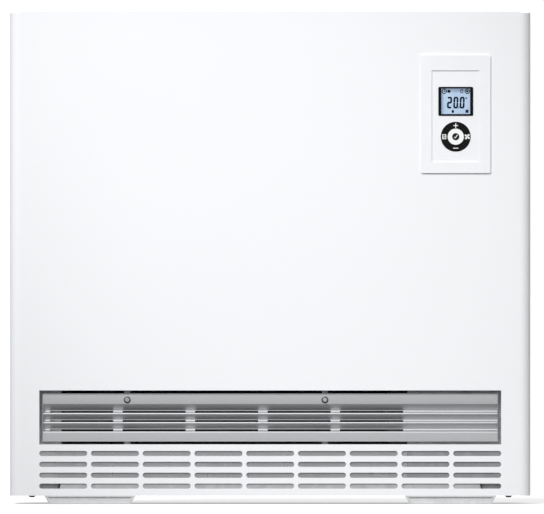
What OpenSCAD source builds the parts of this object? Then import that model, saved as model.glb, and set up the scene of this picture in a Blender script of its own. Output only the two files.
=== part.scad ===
// Floor-standing fan storage heater: a sheet-metal casing round an insulated brick core,
// with a fan drawer and an outlet grille at the foot and a control panel at the upper right.
// +X is the right-hand side seen from the front, -Y is the front, +Z is up.
// The origin is on the floor, under the middle of the heater's box.

/* [Casing] */
// Width of the casing
casing_w = 710; // [680:5:860]
// Height of the casing above its feet
casing_h = 660; // [650:5:760]
// Depth from the front panel's face to the rear panel's field
casing_d = 242; // [236:2:290]
// Thickness of the painted outer sheets
sheet = 1.2; // [0.8:0.1:1.6]
// Thickness of the galvanised inner sheets
inner_sheet = 1.0; // [0.8:0.1:1.5]
// Outer radius of the front panel's vertical edges
edge_r = 14; // [8:1:20]
// Visible seam between neighbouring outer sheets
seam = 0.6; // [0.3:0.1:0.9]
// Gap between pieces that sit on or in each other
fit = 0.3; // [0.2:0.05:0.5]
// Depth of the front panel's side returns
front_return = 24; // [22:1:40]
// Width of the inward folds along the casing's upright seams
seam_fold = 10; // [8:1:12]
// Depth of the front panel's folds along its top and bottom edges
edge_fold = 12; // [8:1:16]
// Height of the top cover's rim
cover_rim = 14; // [8:1:24]
// How far the front panel's round corners stop below its top fold
corner_drop = 1.4; // [1:0.1:3]
// Width of the side panels' rear folds
rear_fold = 22; // [18:1:30]

/* [Rear panel] */
// Depth of the pressed ribs that space the heater from the wall
rib_d = 6; // [3:0.5:12]
// Width of a rib's outer face
rib_w = 34; // [24:1:50]
// Distance between the two wall fixing holes
wall_fix_pitch = 400; // [300:10:410]
// Depth of the wall fixing holes below the top
wall_fix_drop = 26; // [20:1:32]
// Radius of the wall fixing holes
wall_fix_r = 4.5; // [3:0.25:5]
// Length of one rear vent slot
vent_l = 60; // [40:1:80]
// Height of one rear vent slot
vent_h = 5; // [3:0.5:7]
// Number of rear vent slots in each group
vent_rows = 8; // [4:1:12]
// Height of the lower group of vents above the casing's lower edge
vent_rise = 110; // [90:5:200]
// Distance from the upper group's lowest vent to the casing's top
vent_drop = 200; // [120:5:240]

/* [Base] */
// Height of the feet
foot_h = 12; // [8:1:20]
// Width of a foot at its top
foot_top_w = 125; // [90:1:140]
// Width of a foot where it rests
foot_rest_w = 111; // [80:1:124]
// Depth of a foot at its top
foot_top_d = 246; // [180:2:246]
// How far a foot's front and rear walls lean in towards the floor
foot_lean = 1; // [0:0.5:5]
// Width of the plain rim round the pressed field in a foot's front wall
foot_rim = 3; // [2:0.5:4]
// Depth of that pressed field
foot_press = 0.8; // [0.4:0.1:1.2]
// Distance from the middle of a foot to the casing's side
foot_inset = 109; // [90:1:130]
// Thickness of the feet's sheet
foot_t = 2; // [1.5:0.1:3]
// Radius of the floor fixing holes
floor_fix_r = 4.5; // [3:0.25:5.5]
// Distance from a floor fixing hole to the casing's side
floor_fix_inset = 64; // [60:1:75]
// Distance between the front and rear floor fixing holes
floor_fix_pitch = 150; // [120:5:160]
// Thickness of the base pan
pan_t = 1.5; // [1:0.1:2]
// Height of the base pan's rim
pan_rim = 21; // [14:1:24]
// Width of the pan's lip, which laps over the panel's lower fold and stands behind the lowest slots
lip_w = 578; // [560:1:590]
// How far each end of the lip slants in towards its top
lip_slant = 4; // [0:1:8]
// Distance from the front panel's fixing screws to the casing's side
front_screw_inset = 30; // [24:1:36]

/* [Intake slots] */
// Distance from the outlet and the slots to the casing's sides
field_inset = 40; // [34:1:60]
// Columns of intake slots
slot_cols = 9; // [7:1:12]
// Rows of intake slots
slot_rows = 4; // [3:1:4]
// Height of one slot
slot_h = 7; // [5:0.5:9]
// Width of the bridge between two slots of a row
slot_bridge = 5.2; // [4:0.2:9]
// Distance between two rows of slots
slot_pitch = 14.83; // [12:0.5:15]
// Height of the lowest row above the front panel's lower edge
slot_rise = 13.1; // [10:0.5:15]

/* [Outlet] */
// Height of the outlet's lower edge above the front panel's lower edge
outlet_rise = 70; // [68:1:80]
// Height of the outlet
outlet_h = 73.6; // [73:0.5:90]
// Gap round the grille in the outlet
grille_gap = 3.9; // [2:0.1:5]
// How far the grille sits behind the front panel's face
grille_set = 6; // [4:0.5:9]
// Thickness of the grille's sheet
grille_t = 1.0; // [0.8:0.1:1.4]
// Depth of the grille's louvre steps
louvre_d = 8; // [4:0.5:8]
// Height of the grille's flat upper flange
grille_top_flange = 15; // [12:0.5:18]
// Height of the grille's flat lower flange
grille_low_flange = 13.4; // [11:0.5:16]
// Radius of the bends between the louvre steps
louvre_bend = 1.6; // [1.2:0.1:2]
// Number of louvre steps
louvres = 3; // [2:1:3]
// Height of a slit
slit_h = 2.8; // [2:0.1:3.6]
// Number of slits in a row
slit_cols = 5; // [4:1:6]
// Height of the lip between a louvre step's foot and its slits
slit_lip = 0.7; // [0.4:0.1:1]
// Width of the bridge between two slits
slit_bridge = 12.8; // [10:0.1:20]
// Distance from the first slit to the grille's left end
slit_margin = 10.7; // [8:0.1:20]
// Width of the grille's part without slits, before the electrical bay
grille_blank = 130.5; // [110:0.5:150]
// Depth of the folds at the grille's ends
grille_end = 9; // [8:1:11]
// Distance from the grille's screws to its ends, left and right
grille_screw_in = [116, 236.5]; // [100:0.5:250]
// Radius of the casing screws' heads
screw_head_r = 4.7; // [4:0.1:5.5]
// Height of the casing screws' heads
screw_head_h = 2.2; // [1.6:0.1:2.8]
// Radius of the casing screws' shanks
screw_r = 2.1; // [1.6:0.1:2.4]
// Depth of the outlet duct behind the grille frame
duct_d = 82; // [70:1:90]
// Radius of the mixing flap's pins
flap_pin_r = 2.5; // [2:0.1:3]

/* [Fan] */
// Outer radius of the cross-flow wheels
wheel_r = 22.5; // [20:0.5:24]
// Number of blades on each wheel
blades = 22; // [16:1:30]
// Radial depth of a blade
blade_d = 6.5; // [5:0.5:8]
// Thickness of a blade
blade_t = 0.9; // [0.7:0.1:1.2]
// Radius of the fan shaft
shaft_r = 2.5; // [2:0.1:3]
// Running clearance of the shaft and the flap's pins
running = 0.05; // [0.02:0.01:0.08]
// Height of the fan's axis above the base pan
fan_rise = 33; // [31:0.5:34]
// Distance of the fan's axis behind the middle of the casing
fan_back = 18; // [10:1:30]
// Distance from the fan drawer to the casing's left side
drawer_in = 90; // [86:1:120]
// Distance from the lint filter to the casing's left side
filter_in = 35; // [20:1:40]
// Thickness of the lint filter
filter_t = 3; // [2:0.5:5]
// Width of the lint filter's blank left end
filter_blank = 27; // [10:1:30]
// Number of windows in the lint filter
filter_cols = 6; // [4:1:10]
// Width of the bars between the lint filter's windows
filter_bar = 2; // [1.5:0.5:4]
// Width of the motor along the shaft
motor_w = 58; // [50:1:60]
// Radius of the motor's rotor
rotor_r = 12; // [10:0.5:14]

/* [Core] */
// Depth of the storage bricks
brick_d = 147; // [130:1:150]
// Free height between the top insulation and the top cover
top_air = 53.7; // [48:0.1:70]
// Layers of bricks, two to each heating element
brick_layers = 6; // [2:2:6]
// Thickness of the front insulation
front_ins_t = 32; // [25:1:34]
// Thickness of the side insulation
side_ins_t = 44; // [30:1:60]
// Thickness of the base insulation
base_ins_t = 30; // [20:1:35]
// Thickness of the top insulation
top_ins_t = 40; // [25:1:45]
// Gap between the front panel and the inner cover
front_gap = 13.3; // [13:0.1:18]
// Radius of the heating elements' tube
element_r = 4.25; // [3:0.25:5]
// Radius of a heating element's bend
element_bend = 36; // [30:1:38]
// Width of the air channels through the bricks
channel_w = 12; // [8:0.5:14]
// Distance from the electrical bay's partition to the casing's right side
bay_w = 168; // [160:1:175]

/* [Electrical bay] */
// Length of the terminal block
terminal_l = 104; // [80:1:120]
// Height of the terminal block
terminal_h = 34; // [26:1:38]
// Depth of the terminal block
terminal_d = 26; // [20:1:34]
// Number of terminals
terminal_ways = 8; // [5:1:10]
// Radius of a terminal's screw hole
terminal_hole_r = 3.2; // [2.4:0.1:3.6]
// Width of the charge controller
controller_w = 100; // [80:1:120]
// Height of the charge controller
controller_h = 78; // [60:1:80]
// Depth of the charge controller
controller_d = 38; // [30:1:50]
// Number of vents in the charge controller
controller_vents = 8; // [4:1:9]
// Radius of the charge controller's dial
dial_r = 9; // [6:0.5:11]
// Radius of the safety cut-out
cutout_r = 12; // [9:0.5:14]
// Depth of the safety cut-out
cutout_d = 12; // [9:0.5:16]
// Height of the cable grommet above the casing's lower edge
grommet_rise = 60; // [40:1:80]
// Radius of the grommet's bore, which takes the supply cable
grommet_bore_r = 6.5; // [5:0.25:7.5]
// Radius of the grommet's hole in the rear panel
grommet_hole_r = 10; // [9:0.25:12]
// Width of the grommet's lips
grommet_lip = 3; // [2:0.25:4]

/* [Control panel] */
// Width of the control plate
plate_w = 94.8; // [90:0.2:110]
// Height of the control plate
plate_h = 161; // [155:1:180]
// How far the control plate stands out of the front panel
plate_proud = 2; // [1.6:0.1:3]
// Distance from the plate's middle to the casing's right side
plate_in = 102; // [95:1:110]
// Distance from the plate's middle to the casing's top
plate_drop = 139.5; // [120:0.5:200]
// Width of the plate's recess
recess_w = 65.5; // [62:0.5:72]
// Height of the plate's recess
recess_h = 125; // [120:1:130]
// Depth of the plate's recess
recess_d = 1.2; // [0.6:0.1:1.4]
// Distance of the recess's middle below the plate's middle
recess_shift = 3; // [0:0.5:5]
// Width of the display's bezel
bezel_w = 47.4; // [45:0.2:52]
// Height of the display's bezel
bezel_h = 39.5; // [38:0.5:42]
// Width of the display's glass
glass_w = 40.6; // [36:0.2:42]
// Height of the display's glass
glass_h = 35.5; // [30:0.5:36]
// Distance of the display's middle above the plate's middle
bezel_up = 17.5; // [15:0.5:22]
// Outer radius of the key ring
ring_r = 20.1; // [18:0.1:21]
// Radius of the middle key
ok_r = 11; // [9:0.25:13]
// Distance of the key ring's middle below the plate's middle
ring_down = 30.8; // [28:0.2:36]
// Travel of a key
key_travel = 0.7; // [0.3:0.1:0.9]
// Depth of the control housing behind the front panel
housing_d = 24; // [20:1:30]

/* [Hidden] */
$fn = 48;

white_paint = [0.96, 0.97, 0.98];
galvanised = [0.66, 0.68, 0.70];
grille_grey = [0.62, 0.63, 0.65];
black_plastic = [0.07, 0.07, 0.08];
brick_brown = [0.45, 0.38, 0.33];
board_cream = [0.86, 0.83, 0.76];

// Main planes
cut = 1;                                        // how far a cutting solid runs past a face
half_w = casing_w / 2;
top_z = foot_h + casing_h;
whole_d = plate_proud + casing_d + rib_d;
y_plate = -whole_d / 2;                         // the control plate's front, the foremost face
y_face = y_plate + plate_proud;                 // the front panel's face
y_back = y_face + casing_d;                     // the rear panel's field
y_inside = y_face + sheet;                      // the front panel's inner face
y_return = y_face + front_return;               // rear end of the front panel's returns
y_side = y_return + seam;                       // front end of the side panels
y_side_back = y_back - inner_sheet - fit;       // rear end of the side panels
flat_x = half_w - edge_r;                       // where the front panel's flat field ends
corner_top = top_z - corner_drop;
side_top = top_z - cover_rim - seam;
y_pan = y_face + edge_fold + fit;               // front of the base pan
y_pan_back = y_side_back - sheet - fit;
pan_x = half_w - sheet - fit;
pan_top = foot_h + pan_t;
fold_z = foot_h + pan_rim + 1;                  // the upright folds start above the base pan's rim

// Fixings
wall_fix_z = top_z - wall_fix_drop;
rib_z = [foot_h + 60, top_z - 12];
rib_slope = 3;
foot_x = half_w - foot_inset;
floor_fix_x = half_w - floor_fix_inset;
front_screw_x = half_w - front_screw_inset;
tab_w = 30;
tab_neck = 8;                                   // width of the grille tabs where they cross the gap
screw_hole_r = screw_r + 0.2;
screw_l = 9;

// Outlet and grille
outlet_w = casing_w - 2 * field_inset;
outlet_z = foot_h + outlet_rise;
outlet_top = outlet_z + outlet_h;
y_grille = y_face + grille_set;
grille_x = [-outlet_w / 2 + grille_gap, outlet_w / 2 - grille_gap];
grille_z = [outlet_z + grille_gap, outlet_top - grille_gap];
louvre_z = grille_z[1] - grille_top_flange;     // where the louvre steps begin
louvre_pitch = (louvre_z - grille_z[0] - grille_low_flange) / louvres;
slit_pitch = (grille_x[1] - grille_x[0] - slit_margin - grille_blank + slit_bridge) / slit_cols;
grille_screw_z = grille_z[1] - 0.6 * grille_top_flange;
grille_screw_x = [grille_x[0] + grille_screw_in[0], grille_x[1] - grille_screw_in[1]];
step_h = slit_h + 0.2;                          // height of the steep part of a louvre step

frame_wall = 3;                                 // the grille frame stands this far outside the opening
frame_x = outlet_w / 2 + frame_wall;
frame_blank = 26;                               // how far the frame is closed behind the grille's left end
frame_reach = 1.5;                              // how far the frame's brackets hide behind the grille's edges
frame_z = [outlet_z - inner_sheet, outlet_top + inner_sheet];
y_frame = [y_inside + fit, y_grille + 13];
duct_y = [y_frame[1] + fit, y_frame[1] + fit + duct_d];

// Core
y_cover = y_inside + front_gap;                 // front of the inner cover
ins_y0 = y_cover + inner_sheet + fit;
brick_y = ins_y0 + front_ins_t + fit;           // front of the bricks
brick_back = brick_y + brick_d;
rear_ins_y = [brick_back + fit, y_side_back - sheet - fit];
x_part = half_w - bay_w;                        // left face of the partition
core_x = [-half_w + sheet + seam_fold, x_part - fit];
brick_x = [core_x[0] + side_ins_t + fit, core_x[1] - side_ins_t - fit];
brick_w = (brick_x[1] - brick_x[0] - fit) / 2;
tray_z = frame_z[1] + 2 * inner_sheet + 2 * fit; // underside of the core's tray
ins_z = tray_z + pan_t + fit;
brick_z = ins_z + base_ins_t + fit;
ins_top = top_z - sheet - top_air;
cover_top = ins_top + 6;                        // top of the inner cover and of the partition
core_top = ins_top - top_ins_t;
layer = (core_top - brick_z) / brick_layers;
brick_h = layer - fit;
core_mid_y = brick_y + brick_d / 2;
element_z = [for (i = [0 : 2 : brick_layers - 2]) brick_z + (i + 1) * layer - fit / 2];
groove_r = element_r + 1;
channel_y = element_bend + groove_r + 6;        // distance of the air channels from the core's middle
channel_l = brick_w - 50;
leg = 25;                                       // width of the core frame's legs
leg_t = 2;
duct_x = [-frame_x, core_x[1] - leg - fit];
flap_y = duct_y[1] - 6;
flap_z = frame_z[1] - flap_pin_r - 3;
flap_bush_r = flap_pin_r + 2;
element_end = x_part + 24;                      // where the elements' terminals end

// Fan
fan_y = (y_face + y_back) / 2 + fan_back;
fan_z = pan_top + fan_rise;
housing_gap = 6;                                // between the motor and the housings
end_gap = 3;                                    // between a wheel and its housing's ends
plate_t = 1.2;                                  // thickness of the fan housings
bearing_r = 7;
bearing_l = 8;
bracket_t = 2;                                  // thickness of the brackets that carry the outer bearings
drawer_end = 3.5;                               // between a bracket and the drawer's end
drawer_leg_gap = 12.5;                          // between the drawer and the core frame's leg
y_filter = y_inside + fit;                      // the lint filter stands right behind the intake slots
filter_z = foot_h + pan_rim + fit;              // and over the base pan's rim
filter_x = [-half_w + filter_in, x_part - fit];
drawer_x = [-half_w + drawer_in, core_x[1] - leg - drawer_leg_gap];
motor_x = (drawer_x[0] + drawer_x[1]) / 2;
wheel_end = drawer_end + bracket_t + fit + bearing_l + plate_t + end_gap;
wheel_x = [drawer_x[0] + wheel_end, motor_x + motor_w / 2 + housing_gap + plate_t + end_gap];
wheel_l = drawer_x[1] - wheel_end - wheel_x[1];
scroll_r = wheel_r + 2.5;                       // the scroll's radius where it starts
scroll_grow = 10;                               // how much the radius grows towards the outlet
scroll_start = -125;                            // angle where the scroll starts, in degrees
outlet_up = frame_z[0] - fit;                   // top of the fan housings
drawer_y = [y_pan + pan_t + fit, fan_y + scroll_r + scroll_grow + 16];
drawer_z = pan_top + fit;
drawer_top = outlet_up - 1;
hub_r = 6;
hub_l = 10;
disc_t = 1.6;                                   // thickness of a wheel's discs
rotor_l = 30;
stack_l = 28;                                   // length of the motor's laminated stack
stack_half_h = 22;
stack_limb = 12;                                // width of the stack's limbs
stack_front = 52;                               // reach of the stack before the fan's axis
stack_z = [fan_z - stack_half_h, fan_z + stack_half_h];
stack_y = [fan_y - stack_front, fan_y + stack_half_h];
coil_wall = 7.5;                                // thickness of the winding round its limb
bridge_t = 2;                                   // thickness of the motor's bearing bridges
bridge_w = 16;
bridge_foot = 4;
bearing_x = [wheel_x[0] - end_gap - plate_t - bearing_l, wheel_x[1] + wheel_l + end_gap + plate_t];

// Electrical bay
x_bay = x_part + inner_sheet + fit;             // where the bay's pieces sit on the partition
bay_flange = 14;                                // width of the partition's and the bay cover's flanges
terminal_z = tray_z - terminal_h - 6;
controller_clear = 25;                          // between the controller and the elements' terminals
controller_vent_h = 3;
cutout_drop = 20;                               // the safety cut-out sits this far below the insulation's top
grommet_z = foot_h + grommet_rise;
vent_z = [foot_h + vent_rise, top_z - vent_drop]; // the lowest slot of each group of rear vents

// Control panel
plate_x = half_w - plate_in;
plate_z = top_z - plate_drop;
ring_z = plate_z - ring_down;
bezel_z = plate_z + bezel_up;
recess_z = plate_z - recess_shift;
cut_w = plate_w - 9;                            // the front panel's opening behind the plate
cut_h = plate_h - 9;
y_floor = y_plate + recess_d;                   // the recess's floor
floor_t = 1.6;
y_floor_back = y_floor + floor_t;
bezel_proud = 0.7;
sleeve_back = y_floor_back + 2.7;
lcd_t = 4;
y_lcd = sleeve_back + fit;
y_board = y_lcd + lcd_t + fit;
board_t = 1.6;
switch_h = 3.4;
y_housing_back = y_inside + housing_d;
boss_x = cut_w / 2 - 5.4;
boss_z = cut_h / 2 - 5.4;
boss_r = 3.4;
key_proud = 0.6;
y_key = y_floor - key_proud;
key_reserve = 0.2;                              // left between a post and its switch at full travel
y_post = y_board - switch_h - key_travel - key_reserve;
key_gap = 0.3;
post_at = (ring_r + ok_r) / 2;                  // distance of a key's post from the ring's middle

// ---- helpers ----

// A box from its low corner to its high corner
module block(a, b) translate(a) cube([b[0] - a[0], b[1] - a[1], b[2] - a[2]]);

// A profile drawn in X and Z, as a plate whose front face is at y
module plate_xz(y, t) translate([0, y + t, 0]) rotate([90, 0, 0]) linear_extrude(t) children();

// A profile drawn in Y and Z, run along X
module along_x(x, l) translate([x, 0, 0]) rotate([90, 0, 90]) linear_extrude(l) children();

module rod_x(x, l, r) translate([x, 0, 0]) rotate([0, 90, 0]) cylinder(h = l, r = r);
module rod_y(y, l, r) translate([0, y, 0]) rotate([-90, 0, 0]) cylinder(h = l, r = r);

// A flat slot with round ends, about its middle
module pill(l, h) {
    square([l - h, h], center = true);
    for (s = [-1, 1]) translate([s * (l - h) / 2, 0]) circle(h / 2);
}

// A flat rectangle with round corners, about its middle
module soft_rect(w, h, r) {
    square([w - 2 * r, h], center = true);
    square([w, h - 2 * r], center = true);
    for (sx = [-1, 1], sy = [-1, 1]) translate([sx * (w / 2 - r), sy * (h / 2 - r)]) circle(r);
}

// Children once as drawn and once mirrored to the other side
module both_sides() {
    children();
    mirror([1, 0, 0]) children();
}

// A pan-head screw along +Y: the head's seat is at y, its crown towards -Y
module screw_in(y, l = screw_l, head_r = screw_head_r, r = screw_r) {
    translate([0, y - screw_head_h, 0]) rotate([-90, 0, 0]) {
        difference() {
            rotate_extrude() {
                square([head_r, screw_head_h * 0.6]);
                square([head_r * 0.72, screw_head_h]);
            }
            for (a = [0, 90]) rotate(a) translate([-head_r * 0.5, -0.5, -cut]) cube([head_r, 1, cut + 1.1]);
        }
        cylinder(h = screw_head_h + l, r = r);
    }
}

// Unit normal of the step from a to b, turned to the inner side of a sheet
function normal_of(a, b) = let (d = b - a) [-d[1], d[0]] / norm(d);
// A corner of a bent sheet, moved by t along the mitre of its two legs
function mitred(p, i, t) =
    let (n0 = normal_of(p[max(i - 1, 0)], p[max(i, 1)]),
         n1 = normal_of(p[min(i, len(p) - 2)], p[min(i + 1, len(p) - 1)]),
         m = (n0 + n1) / norm(n0 + n1))
    p[i] + m * t / (m * n0);
// A bent sheet's section: the line p, and the same line moved by the sheet's thickness
function bent_sheet(p, t) =
    concat(p, [for (i = [len(p) - 1 : -1 : 0]) mitred(p, i, t)]);

// A corner at b between a and c, rounded to radius r, as a few points of its arc
bend_steps = 4;
function turned(p, a) = [p[0] * cos(a) - p[1] * sin(a), p[0] * sin(a) + p[1] * cos(a)];
function round_corner(a, b, c, r) =
    let (u = (a - b) / norm(a - b), v = (c - b) / norm(c - b), half = acos(u * v) / 2,
         middle = b + (u + v) / norm(u + v) * r / sin(half),
         s = b + u * r / tan(half) - middle, e = b + v * r / tan(half) - middle,
         turn = atan2(s[0] * e[1] - s[1] * e[0], s * e))
    [for (i = [0 : bend_steps]) middle + turned(s, turn * i / bend_steps)];
// The line p with its inner corners rounded to radius r
function round_line(p, r) =
    concat([p[0]], [for (i = [1 : len(p) - 2]) each round_corner(p[i - 1], p[i], p[i + 1], r)],
           [p[len(p) - 1]]);

// ---- casing ----

module outlet_window() translate([-outlet_w / 2, outlet_z]) square([outlet_w, outlet_h]);

module intake_slots() {
    pitch = (outlet_w + slot_bridge) / slot_cols;
    for (c = [0 : slot_cols - 1], r = [0 : slot_rows - 1])
        translate([-outlet_w / 2 + (pitch - slot_bridge) / 2 + c * pitch,
                   foot_h + slot_rise + r * slot_pitch])
            pill(pitch - slot_bridge, slot_h);
}

module front_panel() color(white_paint) difference() {
    union() {
        plate_xz(y_face, sheet) difference() {
            translate([-flat_x, foot_h]) square([2 * flat_x, casing_h]);
            outlet_window();
            intake_slots();
            translate([plate_x, plate_z]) soft_rect(cut_w, cut_h, 2);
        }
        both_sides() {
            translate([flat_x, y_face + edge_r, foot_h]) rotate(-90) rotate_extrude(angle = 90)
                translate([edge_r - sheet, 0]) square([sheet, corner_top - foot_h]);
            block([half_w - sheet, y_face + edge_r, foot_h], [half_w, y_return, corner_top]);
            block([half_w - seam_fold, y_return - sheet, fold_z], [half_w, y_return, corner_top - 2 * sheet]);
        }
        block([-flat_x, y_face, top_z - sheet], [flat_x, y_face + edge_fold, top_z]);
        block([-flat_x, y_face, foot_h], [flat_x, y_face + edge_fold, foot_h + sheet]);
    }
    for (s = [-1, 1]) translate([s * front_screw_x, y_face + edge_fold / 2 + sheet / 2, foot_h - cut])
        cylinder(h = sheet + 2 * cut, r = screw_hole_r);
}

module rear_screw_places()
    for (z = [foot_h + 40, (foot_h + side_top) / 2, side_top - 40], s = [-1, 1])
        translate([s * (half_w - sheet - seam_fold / 2), 0, z]) children();

module right_side_panel() color(white_paint) difference() {
    union() {
        block([half_w - sheet, y_side, foot_h], [half_w, y_side_back, side_top]);
        block([half_w - seam_fold, y_side, fold_z], [half_w, y_side + sheet, side_top]);
        block([half_w - rear_fold, y_side_back - sheet, foot_h], [half_w, y_side_back, side_top]);
        block([half_w - seam_fold, y_side, side_top - sheet], [half_w, y_side_back, side_top]);
    }
    rear_screw_places() rod_y(y_side_back - sheet - cut, sheet + 2 * cut, screw_hole_r);
}

module left_side_panel() mirror([1, 0, 0]) right_side_panel();

module top_cover() color(white_paint) {
    lip_top = top_z - sheet - fit;
    lip_r = edge_r - sheet - seam;
    lip_x = half_w - sheet - seam;
    lip_y = [y_inside + seam, y_face + edge_fold + seam];
    lip_end = lip_y[1] + 6;
    union() {
        block([-half_w, y_side, top_z - sheet], [half_w, y_side_back, top_z]);
        block([-lip_x, lip_y[1], top_z - sheet], [lip_x, y_side + cut, top_z]);
        block([-lip_x, lip_y[1], lip_top - sheet], [lip_x, lip_end, top_z]);
        translate([0, 0, lip_top - sheet]) linear_extrude(sheet) {
            translate([-lip_x, lip_y[0] + lip_r]) square([2 * lip_x, lip_end - lip_y[0] - lip_r]);
            translate([-lip_x + lip_r, lip_y[0]]) square([2 * (lip_x - lip_r), lip_r + cut]);
            for (s = [-1, 1]) translate([s * (lip_x - lip_r), lip_y[0] + lip_r]) circle(lip_r);
        }
        both_sides()
            block([half_w - sheet, y_side, top_z - cover_rim], [half_w, y_side_back, top_z]);
        block([-half_w, y_side_back - sheet, top_z - cover_rim], [half_w, y_side_back, top_z]);
    }
}

// Section of a pressed rib, in X and Y: the outer face at rib_d, the open side at 0
module rib_section(inset)
    polygon([[-rib_w / 2 - rib_slope + inset, -cut], [-rib_w / 2 - rib_slope + inset, 0],
             [-rib_w / 2 + inset, rib_d - inset], [rib_w / 2 - inset, rib_d - inset],
             [rib_w / 2 + rib_slope - inset, 0], [rib_w / 2 + rib_slope - inset, -cut]]);

module rear_panel() color(galvanised) difference() {
    rib_x = wall_fix_pitch / 2;
    union() {
        plate_xz(y_back - inner_sheet, inner_sheet)
            translate([-half_w + 1, foot_h + 1]) square([casing_w - 2, casing_h - 2]);
        for (s = [-1, 1]) translate([s * rib_x, y_back, rib_z[0]])
            linear_extrude(rib_z[1] - rib_z[0]) rib_section(0);
    }
    for (s = [-1, 1]) {
        translate([s * rib_x, y_back, rib_z[0] + inner_sheet])
            linear_extrude(rib_z[1] - rib_z[0] - 2 * inner_sheet) rib_section(inner_sheet);
        translate([s * rib_x, 0, wall_fix_z]) rod_y(y_back - 2 * cut, rib_d + 3 * cut, wall_fix_r);
    }
    rear_screw_places() rod_y(y_back - inner_sheet - cut, inner_sheet + 2 * cut, screw_hole_r);
    translate([half_w - bay_w / 2, 0, grommet_z])
        rod_y(y_back - inner_sheet - cut, inner_sheet + 2 * cut, grommet_hole_r);
    for (i = [0 : vent_rows - 1], s = [0, 1])
        plate_xz(y_back - inner_sheet - cut, inner_sheet + 2 * cut)
            translate([half_w - bay_w / 2, vent_z[s] + i * 2 * vent_h]) pill(vent_l, vent_h);
}

module base_pan() color(galvanised) difference() {
    rim_z = foot_h + pan_rim;
    lap_z = foot_h + sheet + fit;
    union() {
        block([-pan_x, y_pan, foot_h], [pan_x, y_pan_back, pan_top]);
        difference() {
            block([-pan_x, y_pan, foot_h], [pan_x, y_pan + pan_t, rim_z]);
            block([-lip_w / 2, y_pan - cut, lap_z + pan_t], [lip_w / 2, y_pan + pan_t + cut, rim_z + cut]);
        }
        block([-lip_w / 2, y_inside + fit, lap_z], [lip_w / 2, y_pan + cut, lap_z + pan_t]);
        plate_xz(y_inside + fit, pan_t)
            polygon([[-lip_w / 2, lap_z], [lip_w / 2, lap_z],
                     [lip_w / 2 - lip_slant, rim_z], [-lip_w / 2 + lip_slant, rim_z]]);
        block([-pan_x, y_pan_back - pan_t, foot_h], [pan_x, y_pan_back, rim_z]);
        both_sides() block([pan_x - pan_t, y_pan, foot_h], [pan_x, y_pan_back, rim_z]);
        for (s = [-1, 1]) translate([s * front_screw_x, 0, 0])
            block([-tab_w / 2, y_inside + fit, lap_z], [tab_w / 2, y_pan + cut, lap_z + pan_t]);
    }
    for (s = [-1, 1]) translate([s * front_screw_x, y_face + edge_fold / 2 + sheet / 2, foot_h])
        cylinder(h = pan_rim, r = screw_hole_r);
    for (s = [-1, 1], t = [-1, 1])
        translate([s * floor_fix_x, t * floor_fix_pitch / 2, foot_h - cut])
            cylinder(h = pan_t + 2 * cut, r = 2.4 * floor_fix_r);
}

// The front view of a foot, flared towards its top and drawn in by inset; z is the height it starts at
module foot_front(inset, z)
    polygon([[-foot_rest_w / 2 + inset, z], [foot_rest_w / 2 - inset, z],
             [foot_top_w / 2 - inset, foot_h + z], [-foot_top_w / 2 + inset, foot_h + z]]);

// A pressed foot's solid, drawn in by inset all round
module foot_solid(inset, z) intersection() {
    plate_xz(-foot_top_d / 2, foot_top_d) foot_front(inset, z);
    along_x(-foot_top_w, 2 * foot_top_w)
        polygon([[-foot_top_d / 2 + foot_lean + inset, z], [foot_top_d / 2 - foot_lean - inset, z],
                 [foot_top_d / 2 - inset, foot_h + z], [-foot_top_d / 2 + inset, foot_h + z]]);
}

module right_foot() color(galvanised) difference() {
    field_y = -foot_top_d / 2 + foot_lean + foot_press;
    translate([foot_x, 0, 0]) difference() {
        foot_solid(0, 0);
        foot_solid(foot_t, foot_t);
        intersection() {
            plate_xz(field_y - foot_t, foot_t) foot_front(foot_rim, foot_t);
            block([-foot_top_w, -foot_top_d, foot_t], [foot_top_w, 0, foot_h - foot_t]);
        }
    }
    for (t = [-1, 1]) translate([floor_fix_x, t * floor_fix_pitch / 2, -cut])
        cylinder(h = foot_t + 2 * cut, r = floor_fix_r);
}

module left_foot() mirror([1, 0, 0]) right_foot();

module front_screws() color(galvanised)
    for (s = [-1, 1]) translate([s * front_screw_x, y_face + edge_fold / 2 + sheet / 2, foot_h])
        rotate([90, 0, 0]) screw_in(0);

module rear_screws() color(galvanised)
    rear_screw_places() mirror([0, 1, 0]) screw_in(-y_back);

// ---- outlet ----

// The grille's pressed section, from the upper flange down over the louvre steps
function louvre_line() = concat(
    [[y_grille, grille_z[1]], [y_grille, louvre_z]],
    [for (i = [1 : louvres], p = [0, 1])
        p == 0 ? [y_grille + louvre_d, louvre_z - i * louvre_pitch + step_h]
               : [y_grille, louvre_z - i * louvre_pitch]],
    [[y_grille, grille_z[0]]]);

module outlet_grille() color(grille_grey) difference() {
    union() {
        along_x(grille_x[0], grille_x[1] - grille_x[0])
            polygon(bent_sheet(round_line(louvre_line(), louvre_bend), grille_t));
        for (x = [grille_x[0], grille_x[1] - grille_t])
            block([x, y_grille, grille_z[0]], [x + grille_t, y_grille + grille_end, grille_z[1]]);
    }
    for (i = [1 : louvres], c = [0 : slit_cols - 1]) {
        x = grille_x[0] + slit_margin + c * slit_pitch;
        z = louvre_z - i * louvre_pitch;
        block([x, y_grille - cut, z + slit_lip],
              [x + slit_pitch - slit_bridge, y_grille + louvre_d + 4, z + slit_lip + slit_h]);
    }
    for (x = grille_screw_x)
        translate([x, 0, grille_screw_z]) rod_y(y_grille - cut, grille_t + 2 * cut, screw_hole_r);
}

module grille_screws() color(galvanised)
    for (x = grille_screw_x) translate([x, 0, grille_screw_z]) screw_in(y_grille);

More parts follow.
